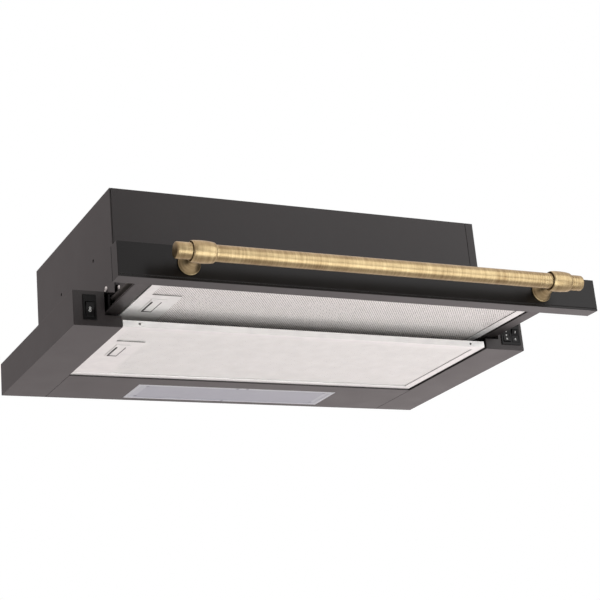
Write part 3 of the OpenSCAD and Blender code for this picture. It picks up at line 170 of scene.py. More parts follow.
# %% [markdown]
# ## Light and surroundings
#
# The photograph has a white background, and the underside of a black hood looks grey in it: paint mirrors a
# white floor strongly at a flat angle. The faces that look towards the room are much darker, because they
# mirror the dim side of the studio, behind the camera. So the surroundings are white for the camera and
# brighter at the back than at the front for mirrored rays, with a breath of warmth in them, and with a paler
# ceiling that gives the round handle its upper band of light. The mirrored floor is dimmer in front of the hood
# as well. One large soft lamp stands to the right of the camera, where its mirrored light makes the right end
# of the fascia paler than the left, as in the photograph, and one lies low in front.

# %% World
WARM_WHITE = "#FFF4F4"

world = bpy.data.worlds.new("studio")
world.use_nodes = True
scene.world = world
sky = world.node_tree
sky.nodes.clear()
rays = add(sky, "ShaderNodeLightPath").outputs
shown = add(sky, "ShaderNodeMath", {0: rays["Is Camera Ray"], 1: rays["Is Transmission Ray"]},
            operation="MAXIMUM")
plain = add(sky, "ShaderNodeMapRange", {"Value": shown, "To Min": 0.6, "To Max": 1.0})
way = add(sky, "ShaderNodeSeparateXYZ", {0: add(sky, "ShaderNodeTexCoord").outputs["Generated"]}).outputs
walls = add(sky, "ShaderNodeMapRange", {"Value": way[1], "From Min": -0.9, "From Max": 0.6,
                                        "To Min": 0.45, "To Max": 0.62}, interpolation_type="SMOOTHSTEP")
ceiling = add(sky, "ShaderNodeMapRange", {"Value": way[2], "From Min": 0.5, "From Max": 0.85, "To Max": 0.5})
room = add(sky, "ShaderNodeMath", {0: walls, 1: ceiling}, operation="ADD")
level = add(sky, "ShaderNodeMix", {0: rays["Is Glossy Ray"], 2: plain, 3: room})
warmth = add(sky, "ShaderNodeMix", {0: rays["Is Glossy Ray"], 6: (1, 1, 1, 1), 7: linear(WARM_WHITE)},
             data_type="RGBA").outputs[2]
glow = add(sky, "ShaderNodeBackground", {"Color": warmth, "Strength": level})
add(sky, "ShaderNodeOutputWorld", {"Surface": glow})

# %% Floor
FLOOR_Z = -0.9
FLOOR_HALF = 6

floor_mesh = bpy.data.meshes.new("floor")
corners = [(x * FLOOR_HALF, y * FLOOR_HALF, FLOOR_Z) for x, y in ((-1, -1), (1, -1), (1, 1), (-1, 1))]
floor_mesh.from_pydata(corners, [], [(0, 1, 2, 3)])
floor = bpy.data.objects.new("floor", floor_mesh)
scene.collection.objects.link(floor)
# Matt and pale for light that falls on it, and a soft glow of its own for every ray that is mirrored.
floor_paint, tree, place = new_material("pale_floor")
rays = add(tree, "ShaderNodeLightPath").outputs
mirrored = add(tree, "ShaderNodeMath", {0: rays["Is Glossy Ray"], 1: rays["Is Transmission Ray"]},
               operation="MAXIMUM")
matt = add(tree, "ShaderNodeBsdfDiffuse", {"Color": linear("#EEEDEB")})
axes = add(tree, "ShaderNodeSeparateXYZ", {0: place}).outputs
depth = add(tree, "ShaderNodeMapRange", {"Value": axes[1], "From Min": -0.7, "From Max": 0.9,
                                         "To Min": 0.5, "To Max": 0.98})
right = add(tree, "ShaderNodeMapRange", {"Value": axes[0], "From Min": 1.2, "From Max": 1.9,
                                         "To Min": 1.0, "To Max": 1.6})
shine = add(tree, "ShaderNodeMath", {0: depth, 1: right}, operation="MULTIPLY")
white = add(tree, "ShaderNodeEmission", {"Color": linear(WARM_WHITE), "Strength": shine})
both = add(tree, "ShaderNodeMixShader", {0: mirrored, 1: matt, 2: white})
add(tree, "ShaderNodeOutputMaterial", {"Surface": both})
floor_mesh.materials.append(floor_paint)

# %% Lamps
LAMP_AIM = Vector((0, -0.3, 0.05))


def soft_lamp(name, place, size, watts):
    """A square area lamp that faces the hood."""
    data = bpy.data.lights.new(name, "AREA")
    data.shape = "SQUARE"
    data.size = size
    data.energy = watts
    lamp = bpy.data.objects.new(name, data)
    lamp.location = place
    lamp.rotation_euler = (LAMP_AIM - Vector(place)).to_track_quat("-Z", "Y").to_euler()
    scene.collection.objects.link(lamp)


soft_lamp("lamp_right", (1.5, -2.3, 0.8), 2.0, 24)
soft_lamp("lamp_below", (0.3, -1.2, -0.8), 1.2, 11)

# %% [markdown]
# ## Powder-coated steel
#
# The housing, casing, drawer and fascia are folded from 1 mm steel and coated with a semi-matt black powder.
# The powder melts into a skin that isn't quite flat: makers call it orange peel. Its dimples are one or two
# millimetres wide and very shallow, so they only disturb the reflections. Where a fold is sharp the skin gets
# thin, and a handled edge looks a little paler. The Bevel node finds those edges, and a noise breaks them up.

# %% Material for powder-coated steel


def finish_surface(tree, colour, roughness, height, strength, depth_mm, more):
    """Ends a material's tree with what the light meets: a colour, a roughness and a fine relief."""
    bump = add(tree, "ShaderNodeBump", {"Strength": strength, "Distance": depth_mm * MM, "Height": height})
    inputs = {"Base Color": colour, "Roughness": roughness, "Normal": bump, **more}
    shader = add(tree, "ShaderNodeBsdfPrincipled", inputs)
    add(tree, "ShaderNodeOutputMaterial", {"Surface": shader})


def rubbed(tree, place, skin, paler, radius_mm, patch_mm, share=1.0):
    """A colour that is rubbed paler along sharp outer edges, in patches, and stays as it is on flat faces."""
    rounded = add(tree, "ShaderNodeBevel", {"Radius": radius_mm * MM}, samples=4)
    flat = add(tree, "ShaderNodeNewGeometry").outputs["Normal"]
    dot = add(tree, "ShaderNodeVectorMath", {0: rounded, 1: flat}, operation="DOT_PRODUCT").outputs["Value"]
    edge = add(tree, "ShaderNodeMapRange", {"Value": dot, "From Min": 0.995, "From Max": 0.85})
    patches = add(tree, "ShaderNodeTexNoise", {"Vector": place, "Scale": pattern(patch_mm), "Detail": 3.0})
    spread = add(tree, "ShaderNodeMapRange", {"Value": patches, "From Min": 0.38, "From Max": 0.62})
    worn = add(tree, "ShaderNodeMath", {0: edge, 1: spread}, operation="MULTIPLY")
    worn = add(tree, "ShaderNodeMath", {0: worn, 1: share}, operation="MULTIPLY")
    return add(tree, "ShaderNodeMix", {0: worn, 6: skin, 7: paler}, data_type="RGBA").outputs[2]


def powder_coat(name, colour, worn, peel_mm, rough, ior):
    """A cloudy, finely speckled skin with orange peel, rubbed paler along its folds."""
    material, tree, place = new_material(name)
    cloud = add(tree, "ShaderNodeTexNoise", {"Vector": place, "Scale": pattern(45), "Detail": 4.0})
    # The grains of the powder are about 0.05 mm wide, too fine to show, so they are drawn coarser.
    speck = add(tree, "ShaderNodeTexNoise", {"Vector": place, "Scale": pattern(0.7), "Detail": 2.0})
    tone = add(tree, "ShaderNodeMath", {0: cloud, 1: speck}, operation="ADD")
    shade = add(tree, "ShaderNodeMapRange", {"Value": tone, "From Min": 0.7, "From Max": 1.3})
    skin = add(tree, "ShaderNodeMix", {0: shade, 6: tinted(colour, 0.86), 7: tinted(colour, 1.14)},
               data_type="RGBA").outputs[2]
    paint = rubbed(tree, place, skin, linear(worn), 0.8, 9, 0.45)
    gloss = add(tree, "ShaderNodeMapRange", {"Value": cloud, "To Min": rough - 0.05, "To Max": rough + 0.05})
    peel = add(tree, "ShaderNodeTexNoise", {"Vector": place, "Scale": pattern(peel_mm), "Detail": 1.5})
    grit = add(tree, "ShaderNodeMath", {0: speck, 1: 0.35}, operation="MULTIPLY")
    relief = add(tree, "ShaderNodeMath", {0: peel, 1: grit}, operation="ADD")
    finish_surface(tree, paint, gloss, relief, 0.35, 0.06, {"IOR": ior})
    return material


# The housing's coat is a dry, greyish black.
black_coat = powder_coat("powder_coated_steel", "#2F2B2B", "#4A4644", 1.6, 0.38, 1.35)
# The fascia's enamel is smoother and a deeper black, so it stands out from the housing.
fascia_coat = powder_coat("fascia_enamel", "#100F0F", "#332F2D", 1.4, 0.32, 1.31)

# %% [markdown]
# ## Folded sheet-metal parts
#
# A press brake leaves every fold slightly round, and a cut edge has its burr taken off. The CAD solids are
# exact, with square edges, and a square edge never catches the light. So each visible sheet part is a merged
# copy of its CAD node whose edges get a narrow bevel. Flat faces stay flat: only edges that turn more than 40
# degrees are bevelled.

# %% Sheet parts with rounded folds
MERGE_DISTANCE = 0.005 * MM
FOLD_ANGLE = math.radians(40)
SMOOTH_BELOW = math.radians(12)


def edged(node, material, bevel_mm, clamp=False):
    """A merged copy of a CAD node with its sharp edges rounded, shown in its place."""
    mesh = frame["nodes"][node].data.copy()
    work = bmesh.new()
    work.from_mesh(mesh)
    bmesh.ops.remove_doubles(work, verts=work.verts, dist=MERGE_DISTANCE)
    sharp = [e for e in work.edges if len(e.link_faces) == 2 and e.calc_face_angle(0) > FOLD_ANGLE]
    bmesh.ops.bevel(work, geom=sharp, offset=bevel_mm * MM, offset_type="OFFSET", segments=2, profile=0.5,
                    affect="EDGES", clamp_overlap=clamp)
    bmesh.ops.triangulate(work, faces=work.faces)
    work.to_mesh(mesh)
    work.free()
    # The copy still has the normals of the square solid, which no longer fit.
    if "custom_normal" in mesh.attributes:
        mesh.attributes.remove(mesh.attributes["custom_normal"])
    mesh.shade_smooth()
    mesh.set_sharp_from_angle(angle=SMOOTH_BELOW)
    return show(mesh, node + "_edged", node, material, [node])


for node in ("lower_housing", "casing_shell", "front_panel", "drawer_frame", "drawer_cover"):
    edged(node, black_coat, 0.3)
edged("lamp_panel", black_coat, 0.45)
edged("fascia", fascia_coat, 0.3)

# %% [markdown]
# ## Other CAD finishes
#
# The remaining parts keep their CAD shape and get a finish of their own: zinc-plated steel for screws and the
# runners' balls and cages, a dry passivated coat for the runners and brackets, whose colours carry painted
# shade and painted light, natural aluminium for the filters, and several plastics. A plated or rolled metal has
# a fine grain that blurs what it mirrors. A moulded plastic shows the spark-eroded face of its tool, which
# breaks up its highlights.

# %% Ways to make metal and plastic


def plated(name, colour, dull, rough, grain_mm, stretch=(1, 1, 1), metallic=1.0):
    """Bare or plated metal with a cloudy tone and a fine grain, drawn coarser than the real one."""
    material, tree, place = new_material(name)
    along = add(tree, "ShaderNodeMapping", {"Vector": place, "Scale": stretch})
    grain = add(tree, "ShaderNodeTexNoise", {"Vector": along, "Scale": pattern(grain_mm), "Detail": 3.0})
    cloud = add(tree, "ShaderNodeTexNoise", {"Vector": place, "Scale": pattern(18), "Detail": 3.0})
    tone = add(tree, "ShaderNodeMapRange", {"Value": cloud, "From Min": 0.3, "From Max": 0.7})
    skin = add(tree, "ShaderNodeMix", {0: tone, 6: linear(dull), 7: linear(colour)},
               data_type="RGBA").outputs[2]
    bright = rubbed(tree, place, skin, linear("#F2F0EC"), 0.4, 5)
    gloss = add(tree, "ShaderNodeMapRange", {"Value": grain, "To Min": rough - 0.08, "To Max": rough + 0.08})
    finish_surface(tree, bright, gloss, grain, 0.25, 0.04, {"Metallic": metallic})
    return material


def moulded(name, colour, rough, grain_mm, relief, ior=1.5):
    """Moulded plastic or rubber: a spark-eroded grain, drawn coarse, a faint flow tone and rubbed edges."""
    material, tree, place = new_material(name)
    grain = add(tree, "ShaderNodeTexVoronoi", {"Vector": place, "Scale": pattern(grain_mm)})
    flow = add(tree, "ShaderNodeTexNoise", {"Vector": place, "Scale": pattern(30), "Detail": 2.0})
    skin = add(tree, "ShaderNodeMix", {0: flow, 6: linear(colour), 7: tinted(colour, 1.12)},
               data_type="RGBA").outputs[2]
    paint = rubbed(tree, place, skin, tinted(colour, 1.6, 0.02), 0.5, 4, 0.4)
    gloss = add(tree, "ShaderNodeMapRange", {"Value": flow, "To Min": rough - 0.05, "To Max": rough + 0.05})
    finish_surface(tree, paint, gloss, grain.outputs["Distance"], relief, 0.05, {"IOR": ior})
    return material


# %% Materials for metal and plastic parts

# Bright zinc on pressed and turned steel has a cool, slightly cloudy shine.
zinc = plated("zinc_plated_steel", "#F1F0ED", "#D6D5D2", 0.34, 0.5)
# Passivated zinc on the runners is dry, with hardly a mirror in it, so the coat's recipe serves for it. Its
# near black on the outer members and brackets is painted shade for the dark gap beside the drawer, and its
# paler grey on the inner members is painted light, so that they read grey in that shade.
zinc_black_painted_shade = powder_coat("passivated_zinc_painted_shade", "#161515", "#3A3A38", 0.9, 0.42, 1.36)
zinc_grey_painted_light = powder_coat("passivated_zinc_painted_light", "#6E6866", "#8A8683", 0.9, 0.42, 1.4)
# Rolled sheet has its grain along X, and a white oxide skin takes half of its mirror away.
rolled_aluminium = plated("rolled_aluminium", "#F3F2F0", "#EAE9E8", 0.36, 0.35, (0.05, 1, 1), 0.5)
# ABS from an eroded tool is even and matt.
black_abs = moulded("black_abs", "#1C1B1B", 0.42, 0.5, 0.3)
# The switches come from a nearly polished tool, so they are blacker and smoother than the paint round them.
gloss_black = moulded("gloss_black_nylon", "#050505", 0.34, 0.9, 0.06, 1.27)
# The blower's ABS is a plain machine grey.
grey_abs = moulded("grey_abs", "#8D8F92", 0.45, 0.6, 0.3)
# Natural nylon and acetal are waxy, with soft highlights.
white_nylon = moulded("white_nylon", "#DCDBD7", 0.4, 0.8, 0.15)
red_acetal = moulded("red_acetal", "#A3342C", 0.35, 0.8, 0.1)
# Rubber has almost no shine.
rubber = moulded("epdm_rubber", "#1B1B1B", 0.75, 0.6, 0.4, 1.52)

# %% Finishes of the parts that keep their CAD shape
FINISHES = {
    # Painted shade on the outer runners and brackets, painted light on the inner runners.
    zinc_black_painted_shade: ("runner_outer_left", "runner_outer_right", "runner_brackets"),
    zinc_grey_painted_light: ("runner_inner_left", "runner_inner_right"),
    zinc: ("ball_cage_left", "ball_cage_right", "balls_left", "balls_right", "handle_screws", "shaft", "motor",
           "motor_bracket", "capacitor_clamp"),
    gloss_black: ("light_switch", "fan_switch"),
    black_abs: ("led_driver", "drawer_switch", "terminal_box", "terminal_lid", "cable_gland", "duct_collar"),
    grey_abs: ("scroll_left", "scroll_right", "front_flap", "rear_flap"),
    white_nylon: ("lens_clips", "lamp_reflector", "led_board", "impeller", "capacitor"),
    red_acetal: ("switch_plunger",),
    rubber: ("grommets",),
}
for finish, nodes in FINISHES.items():
    for node in nodes:
        data = frame["nodes"][node].data
        data.materials.clear()
        data.materials.append(finish)
print("finished CAD nodes:", sum(len(nodes) for nodes in FINISHES.values()))

# %% [markdown]
# ## The lamp lens
#
# The lens is a tray of opal polycarbonate, 2.2 mm thick at its rim. It lets light through but blurs what is
# behind it, so it is part transmission and part pale diffuse colour, with a fine sandblasted face. The rim is
# thicker than the middle, so it scatters more light and looks whiter: the distance from the middle, in Object
# coordinates, picks it out. Where the snap clips press on the lens, grey spots of painted shade mark their
# feet.

# %% Lens
RIM_IN_MM, RIM_OUT_MM = 8, 6.5
END_IN_MM, END_OUT_MM = 126, 127.5
CLIP_SHADE_SPOTS_MM = ((-126, -65), (126, -65), (-3, -69.5), (11, -69.5), (-2, -13), (-127, -20), (127, -20))
CLIP_SHADE_Z_MM = 0.5
SHADE_HALO_MM, SHADE_CORE_MM = 3.2, 1.2

opal, tree, place = new_material("opal_polycarbonate")
low, high = (Vector(corner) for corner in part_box("lamp_lens"))
mist = add(tree, "ShaderNodeTexNoise", {"Vector": place, "Scale": pattern(25), "Detail": 2.0})
milk = add(tree, "ShaderNodeMix", {0: mist, 6: linear("#CCCCD9"), 7: linear("#D8D8E3")},
           data_type="RGBA").outputs[2]
axes = add(tree, "ShaderNodeSeparateXYZ", {0: place}).outputs
across = add(tree, "ShaderNodeMath", {0: axes[0]}, operation="ABSOLUTE")
from_middle = add(tree, "ShaderNodeMath", {0: axes[1], 1: (low.y + high.y) / 2}, operation="SUBTRACT")
along = add(tree, "ShaderNodeMath", {0: from_middle}, operation="ABSOLUTE")
rims = [add(tree, "ShaderNodeMapRange", {"Value": out, "From Min": half - RIM_IN_MM * MM,
                                         "From Max": half - RIM_OUT_MM * MM})
        for out, half in ((across, high.x), (along, (high.y - low.y) / 2))]
rim = add(tree, "ShaderNodeMath", {0: rims[0], 1: rims[1]}, operation="MAXIMUM")
ends = add(tree, "ShaderNodeMapRange", {"Value": across, "From Min": END_IN_MM * MM,
                                        "From Max": END_OUT_MM * MM, "To Max": 0.55})
pale = add(tree, "ShaderNodeMath", {0: rim, 1: ends}, operation="MAXIMUM")
milk = add(tree, "ShaderNodeMix", {0: pale, 6: milk, 7: linear("#F4F4FB")}, data_type="RGBA").outputs[2]
# Painted shade: a grey spot round each clip's foot.
for x, y in CLIP_SHADE_SPOTS_MM:
    spot = (x * MM, y * MM, CLIP_SHADE_Z_MM * MM)
    away = add(tree, "ShaderNodeVectorMath", {0: place, 1: spot}, operation="DISTANCE").outputs["Value"]
    foot = add(tree, "ShaderNodeMapRange", {"Value": away, "From Min": SHADE_HALO_MM * MM,
                                            "From Max": SHADE_CORE_MM * MM, "To Max": 0.75})
    milk = add(tree, "ShaderNodeMix", {0: foot, 6: milk, 7: linear("#77758A")}, data_type="RGBA").outputs[2]
# Sandblasting leaves pits of about 0.05 mm, which are drawn coarser here.
frost = add(tree, "ShaderNodeTexNoise", {"Vector": place, "Scale": pattern(0.5), "Detail": 2.0})
finish_surface(tree, milk, 0.45, frost, 0.3, 0.04, {"IOR": 1.58, "Transmission Weight": 0.35})
edged("lamp_lens", opal, 0.25)

# %% [markdown]
# ## Brushed and aged brass
#
# The handle is solid brass, turned on a lathe, brushed with fine abrasive while it spins, darkened in a bath
# and rubbed back. So its scratches run round the bar, the raised places are bright and the hollows stay brown.
# The scratches are noise squeezed along the bar: very fine along X and long around it. Real ones are finer than
# a tenth of a millimetre, so they are drawn coarser here.

# %% Material for aged brass


def aged_brass(name, squeeze):
    """Brass brushed round an axis, bright where it was rubbed and brown where the bath stayed."""
    material, tree, place = new_material(name)
    along = add(tree, "ShaderNodeMapping", {"Vector": place, "Scale": squeeze})
    scratch = add(tree, "ShaderNodeTexNoise", {"Vector": along, "Scale": pattern(0.9), "Detail": 4.0,
                                               "Roughness": 0.6})
    bands = add(tree, "ShaderNodeTexNoise", {"Vector": along, "Scale": pattern(2.4), "Detail": 3.0})
    blotch = add(tree, "ShaderNodeTexNoise", {"Vector": place, "Scale": pattern(24), "Detail": 4.0,
                                              "Roughness": 0.6})
    tone = add(tree, "ShaderNodeMath", {0: blotch, 1: bands}, operation="ADD")
    tone = add(tree, "ShaderNodeMath", {0: tone, 1: scratch}, operation="ADD")
    share = add(tree, "ShaderNodeMapRange", {"Value": tone, "From Min": 0.95, "From Max": 1.95})
    skin = add(tree, "ShaderNodeMix", {0: share, 6: linear("#826A49"), 7: linear("#CAB88E")},
               data_type="RGBA").outputs[2]
    bright = rubbed(tree, place, skin, linear("#DCCCA4"), 0.9, 6)
    gloss = add(tree, "ShaderNodeMapRange", {"Value": scratch, "From Min": 0.3, "From Max": 0.7,
                                             "To Min": 0.3, "To Max": 0.46})
    finish_surface(tree, bright, gloss, scratch, 0.3, 0.03, {"Metallic": 1.0})
    return material


brass_across = aged_brass("aged_brass", (1, 0.06, 0.06))
brass_outward = aged_brass("aged_brass_posts", (0.06, 1, 0.06))

# %% [markdown]
# ## The handle, turned on a lathe
#
# Every part of the handle is round about an axis, so each one is a profile that is spun: the bar with five fine
# rings near its right end, two barrels with a crown and an open mouth on the left, the trumpet-shaped feet, and
# the end caps. The profile's points are the distance along the axis and the radius, in millimetres.

# %% A lathe
LATHE_STEPS = 96
GROOVE_SLOPE = 0.12
GROOVE_WIDTH = 0.7


def turned(work, profile, centre, axis, bored=False):
    """Spins a profile into rings of points with faces between them. A bored part closes on its own bore."""
    side = Vector((0, 0, 1))
    other = Vector(axis).cross(side)
    rings = []
    for reach, radius in profile:
        middle = (Vector(centre) + Vector(axis) * reach) * MM
        turns = [2 * math.pi * i / LATHE_STEPS for i in range(LATHE_STEPS if radius else 1)]
        rings.append([work.verts.new(middle + (side * math.cos(t) + other * math.sin(t)) * radius * MM)
                      for t in turns])
    pairs = list(zip(rings, rings[1:])) + ([(rings[-1], rings[0])] if bored else [])
    for one, two in pairs:
        for i in range(LATHE_STEPS):
            j = (i + 1) % LATHE_STEPS
            corners = [one[i % len(one)], one[j % len(one)], two[j % len(two)], two[i % len(two)]]
            work.faces.new(list(dict.fromkeys(corners)))


def finish_turned(work, name, node, material):
    """Shows turned work in a CAD node's place."""
    bmesh.ops.recalc_face_normals(work, faces=work.faces)
    mesh = mesh_from(work, name)
    mesh.shade_smooth()
    mesh.set_sharp_from_angle(angle=math.radians(32))
    return show(mesh, name, node, material, [node])


def grooves(places, radius, depth):
    """The profile's points for fine rings that are cut into a round part."""
    points = []
    for at in places:
        points += [(at, radius), (at + GROOVE_SLOPE, radius - depth),
                   (at + GROOVE_WIDTH - GROOVE_SLOPE, radius - depth), (at + GROOVE_WIDTH, radius)]
    return points


# %% Bar, barrels, feet and caps
BAR_Y, BAR_Z, BAR_END, BAR_R = -479.5, 21.6, 234.5, 8.96
POST_X, FASCIA_FRONT = 221.5, -443.5
BARREL_HALF, BORE_R = 13, 9.02
CROWN_R, CROWN_AT = 11.9, 0.42
LEFT_OF_CROWN, RIGHT_OF_CROWN = (11.2, 0.42), (10.7, 0.58)
NECK_R, CAP_R = 6.5, 8.94
ALONG, OUTWARD = (1, 0, 0), (0, -1, 0)

bar = bmesh.new()
ring_places = [POST_X - BARREL_HALF - 3.2 * i for i in (5, 4, 3, 2, 1)]
rod = [(-BAR_END, 0), (-BAR_END, BAR_R)] + grooves(ring_places, BAR_R, 0.3) + [(BAR_END, BAR_R), (BAR_END, 0)]
turned(bar, rod, (0, BAR_Y, BAR_Z), ALONG)
handle = [finish_turned(bar, "handle_bar_turned", "handle_bar", brass_across)]


def crown_radius(share):
    """A barrel's radius at a share of its length. It is fullest a little left of its middle."""
    end_r, span = LEFT_OF_CROWN if share < CROWN_AT else RIGHT_OF_CROWN
    return CROWN_R - (CROWN_R - end_r) * abs((share - CROWN_AT) / span) ** 2.3


crown = [(-BARREL_HALF + 2 * BARREL_HALF * t, crown_radius(t)) for t in [i / 24 for i in range(1, 24)]]
mouth = [(-10, BORE_R), (-10, 10.2), (-12.6, 10.2), (-BARREL_HALF, 10.5), (-BARREL_HALF, 10.8)]
barrel = mouth + crown + [(12.6, 10.4), (BARREL_HALF, 10.0), (BARREL_HALF, BORE_R)]
base = [(0, 0), (0, 12.5), (0.3, 12.7), (1.6, 12.7), (2.1, 12.4), (2.3, 12.05)]
flare = [(2.6 + 22 * t, NECK_R + 5.5 * (1 - t) ** 2.6) for t in [i / 20 for i in range(21)]]
trumpet = base + flare + [(31, NECK_R), (31, 0)]
barrels = bmesh.new()
feet = bmesh.new()
for side in (-1, 1):
    turned(barrels, barrel, (side * POST_X, BAR_Y, BAR_Z), ALONG, bored=True)
    turned(feet, trumpet, (side * POST_X, FASCIA_FRONT, BAR_Z), OUTWARD)
handle.append(finish_turned(barrels, "handle_barrels_turned", "handle_posts", brass_across))
handle.append(finish_turned(feet, "handle_feet_turned", "handle_posts", brass_outward))

caps = bmesh.new()
cap_start = [(0, 0), (0, CAP_R)]
cap_end = [(15.4, 8.9), (16.2, 8.7), (16.7, 8.3), (16.92, 7.7), (17, 6.8), (17, 0)]
turned(caps, cap_start + cap_end, (-BAR_END, BAR_Y, BAR_Z), (-1, 0, 0))
turned(caps, cap_start + grooves((1.5, 5.5), CAP_R, 0.4) + cap_end, (BAR_END, BAR_Y, BAR_Z), ALONG)
handle.append(finish_turned(caps, "handle_caps_turned", "handle_caps", brass_across))
print("handle made of", sum(len(piece.data.polygons) for piece in handle), "faces")

# %% [markdown]
# ## Filter frames, latches and rockers
#
# Each filter is a folded aluminium frame. Its finger latch is a small pressed slide with a rim round the place
# for the fingertip. The rockers of the switches are moulded, with softly rounded edges.

# %% Filter frames, latches and rockers
for node in ("fixed_filter_frame", "drawer_filter_frame"):
    edged(node, rolled_aluminium, 0.2, clamp=True)
for node in ("fixed_latch", "drawer_latch"):
    edged(node, rolled_aluminium, 0.2)
for node in ("light_rocker", "speed_rocker", "power_rocker"):
    edged(node, gloss_black, 0.4)

# %% [markdown]
# ## Painted shade in the finger slots and seams
#
# The slot for the fingertip is cut in thin sheet, and the shade in it is painted as dark strips laid along it:
# thick on the left and thin on the other two sides. The shade in the seam in front of each plate is painted as
# a thin grey strip, with a wider painted spot at its left end.

# %% Painted shade strips in the slots and seams
SLOT_SHADE_STRIPS_MM = ((1.7, 8, 4.3, 40), (2.2, 39.2, 14.2, 41.6), (13.1, 7, 14.3, 40))
SEAM_SHADE_STRIPS_MM = ((10.6, 52.1, 45, 52.8), (10.4, 51.3, 12.2, 53.1))

# Both shade strips are painted shade, dull and dry, so light lies on them without a highlight.
slot_shade_paint = moulded("slot_painted_shade", "#3A3938", 0.6, 0.6, 0.2)
seam_shade_paint = moulded("seam_painted_shade", "#7C7977", 0.6, 0.6, 0.2)


def strips(name, node, left, front, rectangles, low_z, high_z, material):
    """Thin bars with small rounded edges. Each rectangle is (x0, y0, x1, y1) from a corner, in millimetres."""
    work = bmesh.new()
    for from_x, from_y, to_x, to_y in rectangles:
        x0, y0, x1, y1 = left + from_x, front + from_y, left + to_x, front + to_y
        middle = Vector(((x0 + x1) / 2, (y0 + y1) / 2, (low_z + high_z) / 2))
        block = bmesh.ops.create_cube(work, size=1.0)["verts"]
        bmesh.ops.scale(work, vec=Vector((x1 - x0, y1 - y0, high_z - low_z)) * MM, verts=block)
        bmesh.ops.translate(work, vec=middle * MM, verts=block)
    rounding = min(0.2, (high_z - low_z) * 0.4)
    bmesh.ops.bevel(work, geom=work.edges[:], offset=rounding * MM, segments=2, affect="EDGES")
    mesh = mesh_from(work, name)
    mesh.shade_smooth()
    return show(mesh, name, node, material)


# Painted shade: dark strips in each latch's finger slot, and a grey strip in the seam in front of each plate.
for kind in ("fixed", "drawer"):
    points = [v.co / MM for v in frame["nodes"][kind + "_latch"].data.vertices]
    bottom = min(v.z for v in points)
    pad = [v for v in points if v.z < bottom + 0.01]
    strips(kind + "_slot_shade_strips", kind + "_latch", min(v.x for v in pad), min(v.y for v in pad), SLOT_SHADE_STRIPS_MM,
           bottom - 0.2, bottom + 0.3, slot_shade_paint)
    mesh_low = Vector(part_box(kind + "_filter_mesh")[0]) / MM
    strips(kind + "_seam_shade_strips", kind + "_filter_frame", mesh_low.x, mesh_low.y, SEAM_SHADE_STRIPS_MM,
           mesh_low.z - 0.75, mesh_low.z - 0.3, seam_shade_paint)

# %% [markdown]
# ## Marks on the rockers
#
# The rockers carry small white marks, printed on the plastic with a rubber pad. The light's rocker has one ring
# over another, and the fan's rockers have bars and rings, the usual signs for on, off and a second speed. Each
# mark is a thin skin of ink, so its points are dropped straight onto the rocker's face and stand a hair proud.

# %% Printed marks
RING_STEPS = 32
BAR_STEPS = 6
INK_MM = 0.05

# The ink is flat and off-white, so it reads as print and not as a lamp.
ink = moulded("pad_printing_ink", "#C9C8C6", 0.5, 0.3, 0.05)


def printed(name, node, rings, bars):
    """Rings are (x, z, outer, inner), bars are (x, z, width, height), in mm from the rocker's middle."""
    source = frame["nodes"][node].data
    face = BVHTree.FromPolygons([v.co for v in source.vertices], [p.vertices for p in source.polygons])
    low, high = (Vector(corner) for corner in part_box(node))
    middle = (low + high) / 2
    outlines = []
    for x, z, outer, inner in rings:
        turns = [2 * math.pi * i / RING_STEPS for i in range(RING_STEPS)]
        lines = [[(x + r * math.cos(t), z + r * math.sin(t)) for t in turns] for r in (outer, inner)]
        outlines.append((lines, RING_STEPS))
    for x, z, width, height in bars:
        steps = [i / BAR_STEPS for i in range(BAR_STEPS + 1)]
        lines = [[(x + side * width / 2, z + height * (t - 0.5)) for t in steps] for side in (-1, 1)]
        outlines.append((lines, BAR_STEPS))
    work = bmesh.new()
    for lines, count in outlines:
        loops = []
        for line in lines:
            loop = []
            for x, z in line:
                start = Vector((middle.x + x * MM, low.y - 0.01, middle.z + z * MM))
                hit, normal = face.ray_cast(start, Vector((0, 1, 0)))[:2]
                loop.append(work.verts.new(hit + normal * INK_MM * MM))
            loops.append(loop)
        for i in range(count):
            after = (i + 1) % len(loops[0])
            work.faces.new((loops[0][i], loops[0][after], loops[1][after], loops[1][i]))
    bmesh.ops.recalc_face_normals(work, faces=work.faces)
    for patch in work.faces:
        if patch.normal.y > 0:
            patch.normal_flip()
    return show(mesh_from(work, name), name, node, ink)


marks = (printed("light_marks", "light_rocker", [(0, 1.35, 1.2, 0.7), (0, -1.3, 1.5, 0.95)], []),
         printed("speed_marks", "speed_rocker", [(0, 0, 1.0, 0.6)],
                 [(0, 5, 0.6, 2.4), (-0.7, -5, 0.6, 2.4), (0.7, -5, 0.6, 2.4)]),
         printed("power_marks", "power_rocker", [(0, -4.6, 1.2, 0.75)], [(0, 4.6, 0.6, 2.8)]))
print("marks:", [len(piece.data.polygons) for piece in marks])

# %% [markdown]
# ## Expanded-metal filter mats
#
# A grease filter is a pack of expanded aluminium: a sheet is slit and pulled until the slits open into
# diamonds. Here the diamonds are 3 mm wide and 4 mm long. Each joint between diamonds is one point of a grid,
# every second row moved on by half a diamond, and each point gets two short slanting strands. Geometry Nodes
# copy the strands onto the points, and the copies become one plain mesh at the end. There are tens of thousands
# of strands, so each has only three sides, with the flat one downwards. The two directions lie at slightly
# different heights, because two faces in one plane would shade each other. A corner stays free for the latch.

# %% Helpers for Geometry Nodes

SOCKET_KINDS = {"Geometry": "NodeSocketGeometry", "Seed": "NodeSocketInt"}


